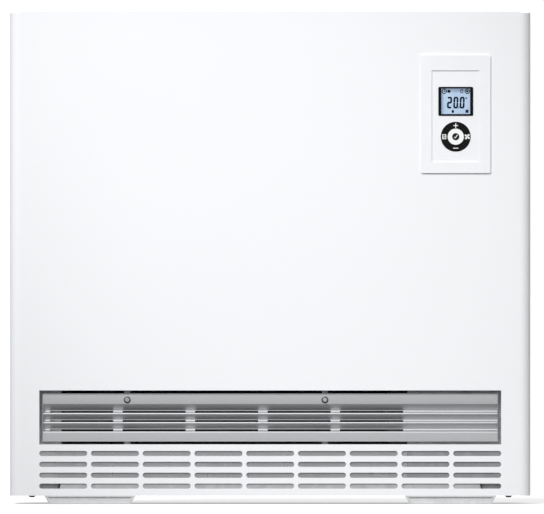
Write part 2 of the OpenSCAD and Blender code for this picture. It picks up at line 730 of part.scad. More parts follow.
// The frame behind the outlet: a channel all round, closed behind the grille's blank part, with
// two brackets that reach forward under the grille's flanges and take its screws
module grille_frame() color(galvanised) difference() {
    tab_y = y_grille + grille_t + fit / 2;
    back_y = y_frame[1] - inner_sheet;
    high = [grille_z[1] - frame_reach, frame_z[1]];
    low = [frame_z[0], grille_z[0] + frame_reach];
    union() {
        plate_xz(y_frame[0], y_frame[1] - y_frame[0]) difference() {
            translate([-frame_x, frame_z[0]]) square([2 * frame_x, frame_z[1] - frame_z[0]]);
            translate([-frame_x + inner_sheet, outlet_z]) square([2 * (frame_x - inner_sheet), outlet_h]);
        }
        for (x = [[-frame_x, grille_x[0] + frame_blank], [x_part + fit, frame_x]])
            block([x[0], back_y, frame_z[0]], [x[1], y_frame[1], frame_z[1]]);
        for (x = grille_screw_x) translate([x, 0, 0]) {
            for (z = [high, low]) block([-tab_neck / 2, back_y, z[0]], [tab_neck / 2, y_frame[1], z[1]]);
            for (z = [high[0], low[1] - inner_sheet])
                block([-tab_w / 2, tab_y, z], [tab_w / 2, y_frame[1], z + inner_sheet]);
            block([-tab_w / 2, tab_y, louvre_z + fit],
                  [tab_w / 2, tab_y + inner_sheet, high[0] + inner_sheet]);
            block([-tab_w / 2, tab_y, low[1] - inner_sheet],
                  [tab_w / 2, tab_y + inner_sheet, grille_z[0] + grille_low_flange - 3]);
        }
    }
    for (x = grille_screw_x)
        translate([x, 0, grille_screw_z]) rod_y(tab_y - cut, inner_sheet + 2 * cut, screw_hole_r);
}

module outlet_duct() color(galvanised) difference() {
    block([duct_x[0], duct_y[0], frame_z[0]], [duct_x[1], duct_y[1], frame_z[1] + inner_sheet]);
    block([duct_x[0] + inner_sheet, duct_y[0] - cut, frame_z[0] + inner_sheet],
          [duct_x[1] - inner_sheet, duct_y[1] + cut, frame_z[1]]);
    for (i = [0, 1]) channel_cut(i, -1, frame_z[1] - cut, frame_z[1] + inner_sheet + cut);
    translate([0, flap_y, flap_z]) rod_x(duct_x[0] - cut, duct_x[1] - duct_x[0] + 2 * cut, flap_bush_r);
}

module flap_bushes() color(black_plastic)
    for (x = [duct_x[0] - fit, duct_x[1] - inner_sheet - fit]) translate([0, flap_y, flap_z]) difference() {
        rod_x(x, inner_sheet + 2 * fit, flap_bush_r);
        rod_x(x - cut, inner_sheet + 2 * fit + 2 * cut, flap_pin_r + running);
    }

module mixing_flap() color(galvanised) {
    leaf_x = [duct_x[0] + inner_sheet + 3, duct_x[1] - inner_sheet - 3];
    union() {
        block([leaf_x[0], flap_y - inner_sheet / 2, outlet_z + 3],
              [leaf_x[1], flap_y + inner_sheet / 2, flap_z]);
        translate([0, flap_y, flap_z])
            rod_x(duct_x[0] - fit, duct_x[1] - duct_x[0] + fit, flap_pin_r);
        block([leaf_x[0], flap_y - 5, outlet_z + 3], [leaf_x[1], flap_y, outlet_z + 3 + inner_sheet]);
    }
}

// ---- fan ----

module lint_filter() color(black_plastic) plate_xz(y_filter, filter_t) difference() {
    x0 = filter_x[0] + filter_blank;
    edge = 2 * filter_bar;
    pitch = (filter_x[1] - edge - x0) / filter_cols;
    h = drawer_top - filter_z;
    translate([filter_x[0], filter_z]) square([filter_x[1] - filter_x[0], h]);
    for (i = [0 : filter_cols - 1])
        translate([x0 + i * pitch, filter_z + edge]) square([pitch - filter_bar, h - 2 * edge]);
}

module fan_drawer() color(galvanised) {
    saddle_t = 1.5;
    saddle_x = stack_l / 2 + fit;
    side_h = 12;
    sill = 8;                                   // height of the sheet left under and over the windows
    post_w = 28;
    middle = 5;                                 // half the width of the post between the windows
    difference() {
        union() {
            block([drawer_x[0], drawer_y[0], drawer_z], [drawer_x[1], drawer_y[1], drawer_z + inner_sheet]);
            block([drawer_x[0], drawer_y[0], drawer_z], [drawer_x[1], drawer_y[0] + inner_sheet, drawer_top]);
            for (x = [drawer_x[0], drawer_x[1] - inner_sheet])
                block([x, drawer_y[0], drawer_z], [x + inner_sheet, drawer_y[1], drawer_z + side_h]);
            // The saddle under the motor
            for (x = [motor_x - saddle_x, motor_x + saddle_x - saddle_t])
                block([x, stack_y[0] + stack_limb, drawer_z], [x + saddle_t, stack_y[1], stack_z[0] - fit]);
            // The brackets of the two outer bearings
            for (x = [bearing_x[0] - fit - bracket_t, bearing_x[1] + bearing_l + fit])
                block([x, fan_y - post_w / 2, drawer_z],
                      [x + bracket_t, fan_y + post_w / 2, fan_z + post_w / 2]);
        }
        for (x = [[drawer_x[0] + sill, motor_x - middle], [motor_x + middle, drawer_x[1] - sill]])
            block([x[0], drawer_y[0] - cut, drawer_z + sill],
                  [x[1], drawer_y[0] + inner_sheet + cut, drawer_top - sill]);
        for (x = [bearing_x[0] - fit - bracket_t, bearing_x[1] + bearing_l + fit])
            translate([0, fan_y, fan_z]) rod_x(x - cut, bracket_t + 2 * cut, bearing_r - 2);
    }
}

// A point of the scroll at angle a, with its radius enlarged by extra
function scroll_point(a, extra) =
    let (r = scroll_r + scroll_grow * (a - scroll_start) / -scroll_start + extra)
    [fan_y + r * cos(a), fan_z + r * sin(a)];

module scroll_section(extra)
    polygon(concat([for (a = [scroll_start : 12.5 : 0]) scroll_point(a, extra)],
                   [[fan_y + scroll_r + scroll_grow + extra, outlet_up + (extra > 0 ? 0 : cut)],
                    [fan_y - wheel_r + 10 - extra, outlet_up + (extra > 0 ? 0 : cut)],
                    [fan_y - wheel_r + 10 - extra, fan_z + wheel_r - 4]]));

// One scroll housing from x, with its two ends; open at the front and the top
module fan_housing(x) color(galvanised) difference() {
    l = wheel_l + 2 * (end_gap + plate_t);
    along_x(x, l) difference() {
        scroll_section(plate_t);
    }
    difference() {
        along_x(x + plate_t, l - 2 * plate_t) union() {
            scroll_section(0);
            translate([fan_y, fan_z]) circle(wheel_r + 2);
            // The mouth towards the front
            polygon([scroll_point(scroll_start, 0), scroll_point(scroll_start, 30),
                     [fan_y - wheel_r - 30, fan_z + wheel_r - 6], [fan_y - wheel_r + 8, fan_z + wheel_r - 6],
                     [fan_y, fan_z]]);
        }
        // The vortex tongue over the wheel
        along_x(x, l) translate([fan_y - wheel_r + 10 - plate_t, fan_z + wheel_r + 2.2])
            square([plate_t, outlet_up - fan_z]);
    }
    translate([0, fan_y, fan_z]) rod_x(x - cut, l + 2 * cut, bearing_r + running);
}

module left_fan_housing() fan_housing(wheel_x[0] - end_gap - plate_t);
module right_fan_housing() fan_housing(wheel_x[1] - end_gap - plate_t);

// One blade's section: a strip bent forward along an arc
module blade_section() {
    inner = [for (i = [0 : 4]) [wheel_r - 0.4 - blade_d * i / 4, 0.7 * sin(180 * i / 4) + 0.9 * i / 4]];
    polygon(concat(inner, [for (i = [4 : -1 : 0]) inner[i] + [0, blade_t]]));
}

module fan_wheel(x) color(black_plastic) translate([x, fan_y, fan_z]) {
    difference() {
        union() {
            for (d = [0, wheel_l - disc_t]) rod_x(d, disc_t, wheel_r);
            translate([(wheel_l - disc_t) / 2, 0, 0]) difference() {
                rod_x(0, disc_t, wheel_r);
                rod_x(-cut, disc_t + 2 * cut, wheel_r - blade_d);
            }
            for (d = [0, wheel_l - hub_l]) rod_x(d, hub_l, hub_r);
            rotate([90, 0, 90]) linear_extrude(wheel_l)
                for (i = [0 : blades - 1]) rotate(i * 360 / blades) blade_section();
        }
        rod_x(-cut, wheel_l + 2 * cut, shaft_r + running / 2);
    }
}

module left_fan_wheel() fan_wheel(wheel_x[0]);
module right_fan_wheel() fan_wheel(wheel_x[1]);

module fan_shaft() color(galvanised) translate([0, fan_y, fan_z]) {
    rod_x(bearing_x[0] + 1, bearing_x[1] + bearing_l - 2 - bearing_x[0], shaft_r);
    rod_x(motor_x - rotor_l / 2, rotor_l, rotor_r);
}

// The motor's right-hand bearing bridge: a bar with a bearing, on two feet against the stack
module bearing_bridge() {
    x = motor_w / 2 - bridge_t;
    difference() {
        union() {
            rod_x(motor_w / 2 - bearing_l, bearing_l, bearing_r);
            block([x, -bridge_w / 2, -stack_half_h + 1], [x + bridge_t, bridge_w / 2, stack_half_h - 1]);
            for (z = [-stack_half_h + 1, stack_half_h - 1 - bridge_foot])
                block([stack_l / 2 + fit, -bridge_w / 2, z], [x + bridge_t, bridge_w / 2, z + bridge_foot]);
        }
        rod_x(0, motor_w, shaft_r + running);
    }
}

module fan_bearings() color(black_plastic) translate([0, fan_y, fan_z]) {
    seat = plate_t + 1;                         // the part of an outer bearing inside its housing's end
    for (x = [bearing_x[0], bearing_x[1] - seat]) difference() {
        rod_x(x, bearing_l + seat, bearing_r);
        rod_x(x - cut, bearing_l + seat + 2 * cut, shaft_r + running);
    }
    translate([motor_x, 0, 0]) both_sides() bearing_bridge();
}

module motor_stator() color(galvanised) difference() {
    block([motor_x - stack_l / 2, stack_y[0], stack_z[0]], [motor_x + stack_l / 2, stack_y[1], stack_z[1]]);
    block([motor_x - stack_l, stack_y[0] + stack_limb, stack_z[0] + stack_limb],
          [motor_x + stack_l, fan_y - rotor_r - stack_limb / 2, stack_z[1] - stack_limb]);
    translate([0, fan_y, fan_z]) rod_x(motor_x - stack_l, 2 * stack_l, rotor_r + 0.5);
}

module motor_coil() color([0.62, 0.34, 0.16]) difference() {
    wall = coil_wall;
    block([motor_x - stack_l / 2 - wall, stack_y[0] - wall, stack_z[0] + stack_limb + fit],
          [motor_x + stack_l / 2 + wall, stack_y[0] + stack_limb + wall, stack_z[1] - stack_limb - fit]);
    block([motor_x - stack_l / 2 - fit, stack_y[0] - fit, stack_z[0]],
          [motor_x + stack_l / 2 + fit, stack_y[0] + stack_limb + fit, stack_z[1]]);
}

// ---- core ----

// The air channel of brick column i, in front (-1) or behind (1), from z0 to z1
module channel_cut(i, side, z0, z1)
    translate([brick_x[0] + (i + 0.5) * brick_w + i * fit, core_mid_y + side * channel_y, z0])
        linear_extrude(z1 - z0) pill(channel_l, channel_w);

// The path of the heating element at height z, as a tube of radius r ending at x_end
module element_path(z, r, x_end) {
    x_bend = brick_x[0] + 20 + element_bend;
    for (s = [-1, 1]) translate([0, core_mid_y + s * element_bend, z]) rod_x(x_bend, x_end - x_bend, r);
    translate([x_bend, core_mid_y, z]) rotate(90) rotate_extrude(angle = 180)
        translate([element_bend, 0]) circle(r);
}

module core_frame() color(galvanised) difference() {
    union() {
        block([core_x[0], ins_y0, tray_z], [core_x[1], rear_ins_y[1], tray_z + pan_t]);
        for (x = [core_x[0], core_x[1] - leg], y = [ins_y0 + 6, y_pan_back - pan_t - fit - leg]) {
            x_wall = x < 0 ? x : x + leg - leg_t;
            y_wall_leg = y < 0 ? y : y + leg - leg_t;
            block([x, y_wall_leg, pan_top + fit], [x + leg, y_wall_leg + leg_t, tray_z + cut]);
            block([x_wall, y, pan_top + fit], [x_wall + leg_t, y + leg, tray_z + cut]);
            block([x, y, pan_top + fit], [x + leg, y + leg, pan_top + fit + leg_t]);
        }
    }
    for (i = [0, 1], side = [-1, 1]) channel_cut(i, side, tray_z - cut, tray_z + pan_t + cut);
}

module storage_bricks() color(brick_brown) difference() {
    for (i = [0, 1], k = [0 : brick_layers - 1]) difference() {
        x = brick_x[0] + i * (brick_w + fit);
        z = brick_z + k * layer;
        block([x, brick_y, z], [x + brick_w, brick_back, z + brick_h]);
        for (side = [-1, 1]) channel_cut(i, side, z - cut, z + brick_h + cut);
        if (k % 2 == 0) element_path(z + brick_h + fit / 2, groove_r, brick_x[1] + cut);
        if (k % 2 == 1) element_path(z - fit / 2, groove_r, brick_x[1] + cut);
    }
}

module heating_elements() color([0.42, 0.42, 0.44]) for (z = element_z) {
    element_path(z, element_r, element_end - 12);
    for (s = [-1, 1]) translate([0, core_mid_y + s * element_bend, z]) {
        rod_x(element_end - 12, 5, element_r + 2);
        rod_x(element_end - 7, 7, 2);
    }
}

sensor_z = brick_z + (brick_layers - 2) * layer + brick_h / 2;
sensor_r = 3;

module core_sensor() color(galvanised) translate([0, core_mid_y, sensor_z]) {
    rod_x(brick_x[1] + 0.5, x_part + 12 - brick_x[1] - 0.5, sensor_r);
    rod_x(x_part + inner_sheet + fit, 10, sensor_r + 4);
}

module base_insulation() color(board_cream) difference() {
    block([core_x[0], ins_y0 + front_ins_t + fit, ins_z],
          [core_x[1], rear_ins_y[0] - fit, ins_z + base_ins_t]);
    for (i = [0, 1], side = [-1, 1]) channel_cut(i, side, ins_z - cut, ins_z + base_ins_t + cut);
}

module front_insulation() color(board_cream)
    block([core_x[0], ins_y0, ins_z], [core_x[1], ins_y0 + front_ins_t, ins_top]);

module rear_insulation() color(board_cream)
    block([core_x[0], rear_ins_y[0], ins_z], [core_x[1], rear_ins_y[1], ins_top]);

module left_insulation() color(board_cream)
    block([core_x[0], brick_y, brick_z], [core_x[0] + side_ins_t, brick_back, core_top]);

module right_insulation() color(board_cream) difference() {
    block([core_x[1] - side_ins_t, brick_y, brick_z], [core_x[1], brick_back, core_top]);
    for (z = element_z) element_path(z, groove_r, x_part);
    translate([0, core_mid_y, sensor_z]) rod_x(brick_x[1], x_part - brick_x[1], sensor_r + fit);
}

module top_insulation() color(board_cream) {
    // The chamber where the air turns from the rear channels into the front ones
    chamber_in = 25;
    chamber_h = 14;
    reach = channel_y + channel_w / 2;
    difference() {
        block([core_x[0], brick_y, core_top + fit], [core_x[1], brick_back, ins_top]);
        block([brick_x[0] + chamber_in, core_mid_y - reach, core_top],
              [brick_x[1] - chamber_in, core_mid_y + reach, core_top + chamber_h]);
    }
}

module inner_cover() color(galvanised) {
    bead = 3;                                   // depth of the three upright beads
    bead_w = 40;
    bead_r = 12;
    bead_h = ins_top - tray_z - 2 * bead_w;
    shelf = 30;
    bead_x = [for (x = [0.2, 0.5, 0.8]) core_x[0] + x * (core_x[1] - core_x[0])];
    bead_z = (tray_z + ins_top) / 2;
    difference() {
        union() {
            block([core_x[0], y_cover, tray_z], [core_x[1], y_cover + inner_sheet, cover_top]);
            block([core_x[0], y_cover, cover_top - inner_sheet], [core_x[1], y_cover + shelf, cover_top]);
            for (x = bead_x) translate([x, 0, bead_z])
                plate_xz(y_cover - bead, bead + inner_sheet / 2) soft_rect(bead_w, bead_h, bead_r);
        }
        for (x = bead_x) translate([x, 0, bead_z])
            plate_xz(y_cover - bead + inner_sheet, bead + cut)
                soft_rect(bead_w - 2 * inner_sheet, bead_h - 2 * inner_sheet, bead_r - inner_sheet);
    }
}

// ---- electrical bay ----

module partition() color(galvanised) difference() {
    z0 = pan_top + fit;
    z1 = cover_top;
    y0 = duct_y[0];
    y1 = y_pan_back - pan_t - fit;
    union() {
        block([x_part, y0, z0], [x_part + inner_sheet, y1, z1]);
        block([x_part, y0, z0], [x_part + bay_flange, y1, z0 + inner_sheet]);
        block([x_part, y1 - inner_sheet, z0], [x_part + bay_flange, y1, z1]);
        block([x_part, y0, z0], [x_part + bay_flange, y0 + inner_sheet, z1]);
    }
    for (z = element_z, s = [-1, 1]) translate([0, core_mid_y + s * element_bend, z])
        rod_x(x_part - cut, inner_sheet + 2 * cut, groove_r);
    translate([0, core_mid_y, sensor_z]) rod_x(x_part - cut, inner_sheet + 2 * cut, sensor_r + fit);
}

// The sheet that closes the bay behind the intake slots and the grille's blank part
module bay_cover() color(galvanised) {
    x = [x_part, flat_x];
    step_z = frame_z[0] - fit;
    block([x[0], y_filter, filter_z], [x[1], y_filter + inner_sheet, step_z]);
    block([x[0], y_filter, step_z - inner_sheet], [x[1], duct_y[0] - fit, step_z]);
    block([x[0], duct_y[0] - fit - inner_sheet, filter_z], [x[0] + bay_flange, duct_y[0] - fit, step_z]);
}

module terminal_block() color(white_paint) {
    y0 = core_mid_y - terminal_l / 2;
    way = terminal_l / terminal_ways;
    difference() {
        block([x_bay, y0, terminal_z], [x_bay + terminal_d, y0 + terminal_l, terminal_z + terminal_h]);
        for (i = [0 : terminal_ways - 1]) translate([0, y0 + (i + 0.5) * way, terminal_z + terminal_h / 2]) {
            rod_x(x_bay + terminal_d / 2, terminal_d, terminal_hole_r);
            translate([x_bay + terminal_d / 3, 0, 0]) cylinder(h = terminal_h, r = 0.75 * terminal_hole_r);
        }
        for (i = [1 : terminal_ways - 1])
            block([x_bay + 0.75 * terminal_d, y0 + i * way - fit, terminal_z - cut],
                  [x_bay + terminal_d + cut, y0 + i * way + fit, terminal_z + terminal_h + cut]);
    }
}

module charge_controller() color([0.85, 0.85, 0.83]) {
    z = [element_z[0] + controller_clear, element_z[0] + controller_clear + controller_h];
    dial = [core_mid_y + controller_w * 0.22, z[1] - controller_h / 3];
    difference() {
        block([x_bay, core_mid_y - controller_w / 2, z[0]],
              [x_bay + controller_d, core_mid_y + controller_w / 2, z[1]]);
        for (i = [0 : controller_vents - 1]) {
            vent = z[0] + controller_h * (i + 1) / (controller_vents + 1);
            block([x_bay + controller_d - 2, core_mid_y - controller_w * 0.43, vent],
                  [x_bay + controller_d + cut, core_mid_y - controller_w * 0.08, vent + controller_vent_h]);
        }
        translate([0, dial[0], dial[1]]) rod_x(x_bay + controller_d - 6, 6 + cut, dial_r + 2);
    }
    translate([0, dial[0], dial[1]]) rod_x(x_bay + controller_d - 6.5, 5.5, dial_r);
}

module safety_cutout() color(black_plastic) translate([0, core_mid_y, ins_top - cutout_drop]) {
    rod_x(x_bay, cutout_d / 2, cutout_r);
    rod_x(x_bay, cutout_d, 0.7 * cutout_r);
    rod_x(x_bay, cutout_d + 4, 0.2 * cutout_r);
    block([x_bay, -1.65 * cutout_r, -0.4 * cutout_r], [x_bay + inner_sheet, 1.65 * cutout_r, 0.4 * cutout_r]);
    for (s = [-1, 1])
        block([x_bay + cutout_d / 3, s * 0.83 * cutout_r - 0.4, -0.25 * cutout_r],
              [x_bay + 1.5 * cutout_d, s * 0.83 * cutout_r + 0.4, 0.25 * cutout_r]);
}

module cable_grommet() color(black_plastic) translate([half_w - bay_w / 2, 0, grommet_z]) difference() {
    lip = grommet_lip;
    union() {
        rod_y(y_back - inner_sheet - lip - fit, inner_sheet + 2 * lip + 2 * fit, grommet_hole_r - fit);
        rod_y(y_back + fit / 2, lip, grommet_hole_r + lip);
        rod_y(y_back - inner_sheet - fit / 2 - lip, lip, grommet_hole_r + lip);
    }
    rod_y(y_back - 5 * lip, 10 * lip, grommet_bore_r);
}

// ---- control panel ----

module at_plate(z) translate([plate_x, z]) children();

module control_plate() color(white_paint) difference() {
    collar = cut_w - 2 * fit;
    collar_h = cut_h - 2 * fit;
    union() {
        plate_xz(y_plate, plate_proud) at_plate(plate_z) soft_rect(plate_w, plate_h, 2);
        plate_xz(y_plate + plate_proud / 2, y_inside - y_plate + 2) at_plate(plate_z) difference() {
            soft_rect(collar, collar_h, 2);
            soft_rect(collar - 4, collar_h - 4, 1);
        }
        plate_xz(y_plate + plate_proud / 2, y_floor_back - y_plate - plate_proud / 2)
            at_plate(plate_z) soft_rect(collar, collar_h, 2);
        for (sx = [-1, 1], sz = [-1, 1]) translate([plate_x + sx * boss_x, 0, plate_z + sz * boss_z])
            rod_y(y_floor, y_housing_back - 1.6 - fit - y_floor, boss_r);
    }
    plate_xz(y_plate - cut, recess_d + cut) at_plate(recess_z) soft_rect(recess_w, recess_h, 1);
    plate_xz(y_plate - cut, 10) {
        at_plate(bezel_z) soft_rect(bezel_w - 2, bezel_h - 2, 1);
        at_plate(ring_z) circle(ring_r + key_gap);
    }
    for (sx = [-1, 1], sz = [-1, 1]) translate([plate_x + sx * boss_x, 0, plate_z + sz * boss_z])
        rod_y(y_housing_back - 14, 20, 1.3);
}

module control_housing() color(white_paint) difference() {
    w = cut_w + 10;
    h = cut_h + 10;
    plate_xz(y_inside + fit, y_housing_back - y_inside - fit) at_plate(plate_z) soft_rect(w, h, 3);
    plate_xz(y_inside, y_housing_back - 1.6 - y_inside) at_plate(plate_z) soft_rect(w - 3.2, h - 3.2, 1.5);
    for (sx = [-1, 1], sz = [-1, 1]) translate([plate_x + sx * boss_x, 0, plate_z + sz * boss_z])
        rod_y(y_housing_back - 5, 10, 1.5);
    plate_xz(y_housing_back - 5, 10) at_plate(plate_z - 55) pill(30, 8);
}

module control_screws() color(galvanised)
    for (sx = [-1, 1], sz = [-1, 1]) translate([plate_x + sx * boss_x, 0, plate_z + sz * boss_z])
        mirror([0, 1, 0]) screw_in(-y_housing_back, 9, 2.8, 1.2);

module display_bezel() color(black_plastic) difference() {
    sleeve_w = bezel_w - 2 - 2 * fit;
    sleeve_h = bezel_h - 2 - 2 * fit;
    union() {
        plate_xz(y_floor - bezel_proud, bezel_proud) at_plate(bezel_z) soft_rect(bezel_w, bezel_h, 2);
        plate_xz(y_floor - cut / 2, sleeve_back - y_floor + cut / 2) at_plate(bezel_z)
            soft_rect(sleeve_w, sleeve_h, 1);
    }
    plate_xz(y_floor - 2, 12) at_plate(bezel_z) square([glass_w, glass_h], center = true);
    plate_xz(y_floor, 12) at_plate(bezel_z) square([glass_w + 1, glass_h + 0.6], center = true);
}

module display_window() color([0.71, 0.79, 0.88]) plate_xz(y_floor + fit / 2, 1.4) at_plate(bezel_z)
    square([glass_w + 0.6, glass_h + 0.2], center = true);

module lcd_module() color([0.55, 0.60, 0.62])
    plate_xz(y_lcd, lcd_t) at_plate(bezel_z) soft_rect(glass_w + 8, glass_h + 6, 1);

module control_board() color([0.10, 0.35, 0.22]) {
    plate_xz(y_board, board_t) at_plate(plate_z)
        square([2 * (boss_x - boss_r) - 1, cut_h - 10], center = true);
    for (a = [0 : 90 : 270]) key_switch(post_at * cos(a), post_at * sin(a));
    key_switch(0, 0);
}

module key_switch(x, z)
    plate_xz(y_board - switch_h, switch_h + 0.1) at_plate(ring_z) translate([x, z]) square(6, center = true);

// The quarter of the key ring round angle a, between two radii
module ring_quarter(a, r0, r1) intersection() {
    difference() {
        circle(r1);
        circle(r0);
    }
    rotate(a) translate([key_gap / 2 * sqrt(2), 0])
        polygon([[0, 0], [2 * r1, 2 * r1], [2 * r1, -2 * r1]]);
}

module ring_key(a) color(black_plastic) {
    flange_y = y_floor_back + fit;
    plate_xz(y_key, flange_y + 1 - y_key) at_plate(ring_z) ring_quarter(a, ok_r + key_gap, ring_r);
    plate_xz(flange_y, 1) at_plate(ring_z) ring_quarter(a, ok_r + key_gap, ring_r + 1.6);
    translate([plate_x + post_at * cos(a), 0, ring_z + post_at * sin(a)])
        rod_y(flange_y + 0.5, y_post - flange_y - 0.5, 2);
}

module plus_key() ring_key(90);
module minus_key() ring_key(270);
module mode_key() ring_key(180);
module fan_key() ring_key(0);

module ok_key() color(white_paint) translate([plate_x, 0, ring_z]) {
    rod_y(y_key - 0.2, y_floor_back + 1.3 - y_key, ok_r);
    rod_y(y_key + 1, y_post - y_key - 1, 2);
}

front_panel();
left_side_panel();
right_side_panel();
top_cover();
rear_panel();
base_pan();
left_foot();
right_foot();
front_screws();
rear_screws();
outlet_grille();
grille_screws();
grille_frame();
outlet_duct();
mixing_flap();
flap_bushes();
lint_filter();
fan_drawer();
left_fan_housing();
right_fan_housing();
left_fan_wheel();
right_fan_wheel();
fan_shaft();
fan_bearings();
motor_stator();
motor_coil();
core_frame();
storage_bricks();
heating_elements();
core_sensor();
base_insulation();
front_insulation();
rear_insulation();
left_insulation();
right_insulation();
top_insulation();
inner_cover();
partition();
bay_cover();
terminal_block();
charge_controller();
safety_cutout();
cable_grommet();
control_plate();
control_housing();
control_screws();
display_bezel();
display_window();
lcd_module();
control_board();
plus_key();
minus_key();
mode_key();
fan_key();
ok_key();
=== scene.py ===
# %% [markdown]
# # A storage heater, dressed
#
# The heater is a white sheet-metal box on two low feet: a big bare front panel, a silver louvre
# grille with rows of intake slots under it, and a small control panel at the upper right.
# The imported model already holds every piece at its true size. What is left for Blender is the
# finish of each material, the small prints and fasteners, the light and the camera.
#
# This first cell opens the model as a fixed frame and keeps its box, to compare at the end.

# %% Open the frame
import bpy, bmesh, math
from mathutils import Matrix, Vector


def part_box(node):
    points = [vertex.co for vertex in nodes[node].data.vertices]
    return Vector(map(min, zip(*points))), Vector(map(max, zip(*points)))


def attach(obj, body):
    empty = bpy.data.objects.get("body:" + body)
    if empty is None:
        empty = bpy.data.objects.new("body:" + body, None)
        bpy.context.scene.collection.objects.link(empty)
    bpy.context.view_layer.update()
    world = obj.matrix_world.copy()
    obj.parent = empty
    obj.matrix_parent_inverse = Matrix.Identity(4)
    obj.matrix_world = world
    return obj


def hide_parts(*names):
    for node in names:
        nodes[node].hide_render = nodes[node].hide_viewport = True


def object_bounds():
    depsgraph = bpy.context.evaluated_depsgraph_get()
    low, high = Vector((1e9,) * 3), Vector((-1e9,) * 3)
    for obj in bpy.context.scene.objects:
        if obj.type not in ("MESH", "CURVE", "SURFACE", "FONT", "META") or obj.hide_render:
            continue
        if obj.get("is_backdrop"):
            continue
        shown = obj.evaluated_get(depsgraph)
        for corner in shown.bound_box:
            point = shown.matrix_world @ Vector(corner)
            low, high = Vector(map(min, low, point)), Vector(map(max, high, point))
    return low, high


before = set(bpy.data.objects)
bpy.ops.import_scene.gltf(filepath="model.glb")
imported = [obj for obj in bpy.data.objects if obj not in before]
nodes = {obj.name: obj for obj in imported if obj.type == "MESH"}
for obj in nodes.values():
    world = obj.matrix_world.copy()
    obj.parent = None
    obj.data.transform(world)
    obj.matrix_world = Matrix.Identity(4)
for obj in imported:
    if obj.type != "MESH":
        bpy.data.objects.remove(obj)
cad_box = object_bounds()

mm = 0.001
print(len(nodes), "pieces, box in mm:", [[round(v / mm, 1) for v in corner] for corner in cad_box])

# %% [markdown]
# ## Camera
#
# The photograph looks straight at the front, and its upright edges stay parallel, so the lens is
# very long and stands far away. The eye is level with the middle of the heater: neither its top
# nor its underside shows. A wide lens close by would show the sides and bend the edges.

# %% Set up the camera
mm_per_pixel = 1.364                      # the photograph's scale at the front panel
photo_width = 544                         # in pixels
middle_of_photo = Vector((2.4, -123, 337.6)) * mm
camera_distance, camera_height = 30.0, 0.337
sensor_width = 36

def linked(name, data):
    """A new object in the scene."""
    obj = bpy.data.objects.new(name, data)
    bpy.context.scene.collection.objects.link(obj)
    return obj

camera = linked("camera", bpy.data.cameras.new("camera"))
bpy.context.scene.camera = camera
camera.location = (middle_of_photo.x, middle_of_photo.y - camera_distance, camera_height)
sight = middle_of_photo - camera.location
camera.rotation_euler = sight.to_track_quat("-Z", "Y").to_euler()
camera.data.sensor_width = sensor_width
camera.data.lens = sensor_width * sight.length / (photo_width * mm_per_pixel * mm)
camera.data.clip_end = 200
tilt = math.degrees(math.atan2(sight.z, sight.y))
print("lens", round(camera.data.lens), "mm, tilted by", round(tilt, 3), "degrees")

# %% [markdown]
# ## Node trees
#
# The finishes, the studio's light and the shapes that follow a rule are all trees of nodes. One
# helper adds a node to any of them and fills its sockets, so a tree is written in the order in
# which it works. A second one puts two numbers or patterns together.

# %% Helpers for node trees
def grow(tree, kind, inputs=None, **settings):
    """Adds a node, sets its properties, and links or sets its inputs by name or number."""
    node = tree.nodes.new(kind)
    for setting, value in settings.items():
        setattr(node, setting, value)
    for socket, value in (inputs or {}).items():
        if isinstance(value, bpy.types.NodeSocket):
            tree.links.new(value, node.inputs[socket])
        else:
            node.inputs[socket].default_value = value
    return node

def both(tree, a, b, how="MULTIPLY"):
    """Two numbers or patterns put together."""
    return grow(tree, "ShaderNodeMath", {0: a, 1: b}, operation=how).outputs[0]

# %% [markdown]
# ## Floor and light
#
# A studio sweep is plain: a pale floor without end and even white light. One broad sun from the
# upper left gives the round edges and the louvres their shading, and its wide disc keeps every
# shadow soft. A white card at the right lifts what turns away from that sun. The ceiling is dim,
# so that the risers of the grille, which look up, don't glare. A soft spot aims at the upper
# middle of the front, which is a little brighter than its corners in the photograph.
#
# The camera sees a white floor and a white distance, while the light that they send back is held
# lower, as black cards beside a real studio table do: that keeps the undersides of the louvres
# dark and black gloss black.

# %% Make the floor
def mesh_object(name, verts, faces):
    """A new object whose place is in its mesh."""
    mesh = bpy.data.meshes.new(name)
    mesh.from_pydata([tuple(v) for v in verts], [], faces)
    mesh.validate()
    return linked(name, mesh)

reach = 150.0
floor_corners = [(-reach, -reach, 0), (reach, -reach, 0), (reach, reach, 0), (-reach, reach, 0)]
floor = mesh_object("studio_floor", floor_corners, [(0, 1, 2, 3)])
floor_paint = bpy.data.materials.new("floor_paint")
floor.data.materials.append(floor_paint)
floor_paint.use_nodes = True
paint = floor_paint.node_tree
paint.nodes.clear()

def matt(tree, grey, glow):
    """A matt grey without any gloss, with a white glow added."""
    return grow(tree, "ShaderNodeBsdfPrincipled", {
        "Base Color": (grey, grey, grey, 1), "Specular IOR Level": 0, "Roughness": 1,
        "Emission Color": (1, 1, 1, 1), "Emission Strength": glow})

def by_ray(tree, for_camera, for_light, output):
    """Shows the camera one shader and every other ray another."""
    rays = grow(tree, "ShaderNodeLightPath")
    pick = grow(tree, "ShaderNodeMixShader", {
        0: rays.outputs["Is Camera Ray"], 1: for_light.outputs[0], 2: for_camera.outputs[0]})
    grow(tree, output, {0: pick.outputs[0]})

pale = matt(paint, grey=0.90, glow=0.48)
card = matt(paint, grey=0.22, glow=0.0)
by_ray(paint, pale, card, "ShaderNodeOutputMaterial")
floor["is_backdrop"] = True

# %% Light the studio
shown_white = 1.05                        # the distance, as the camera sees it
sky_light, overhead_light = 0.78, 0.06    # the white all round, and the dim ceiling
ceiling_from = 0.3                        # the sine of the angle at which the white starts to fade
sun_light, card_light, spot_light = 1.1, 0.6, 1090
spot_distance = 6.0

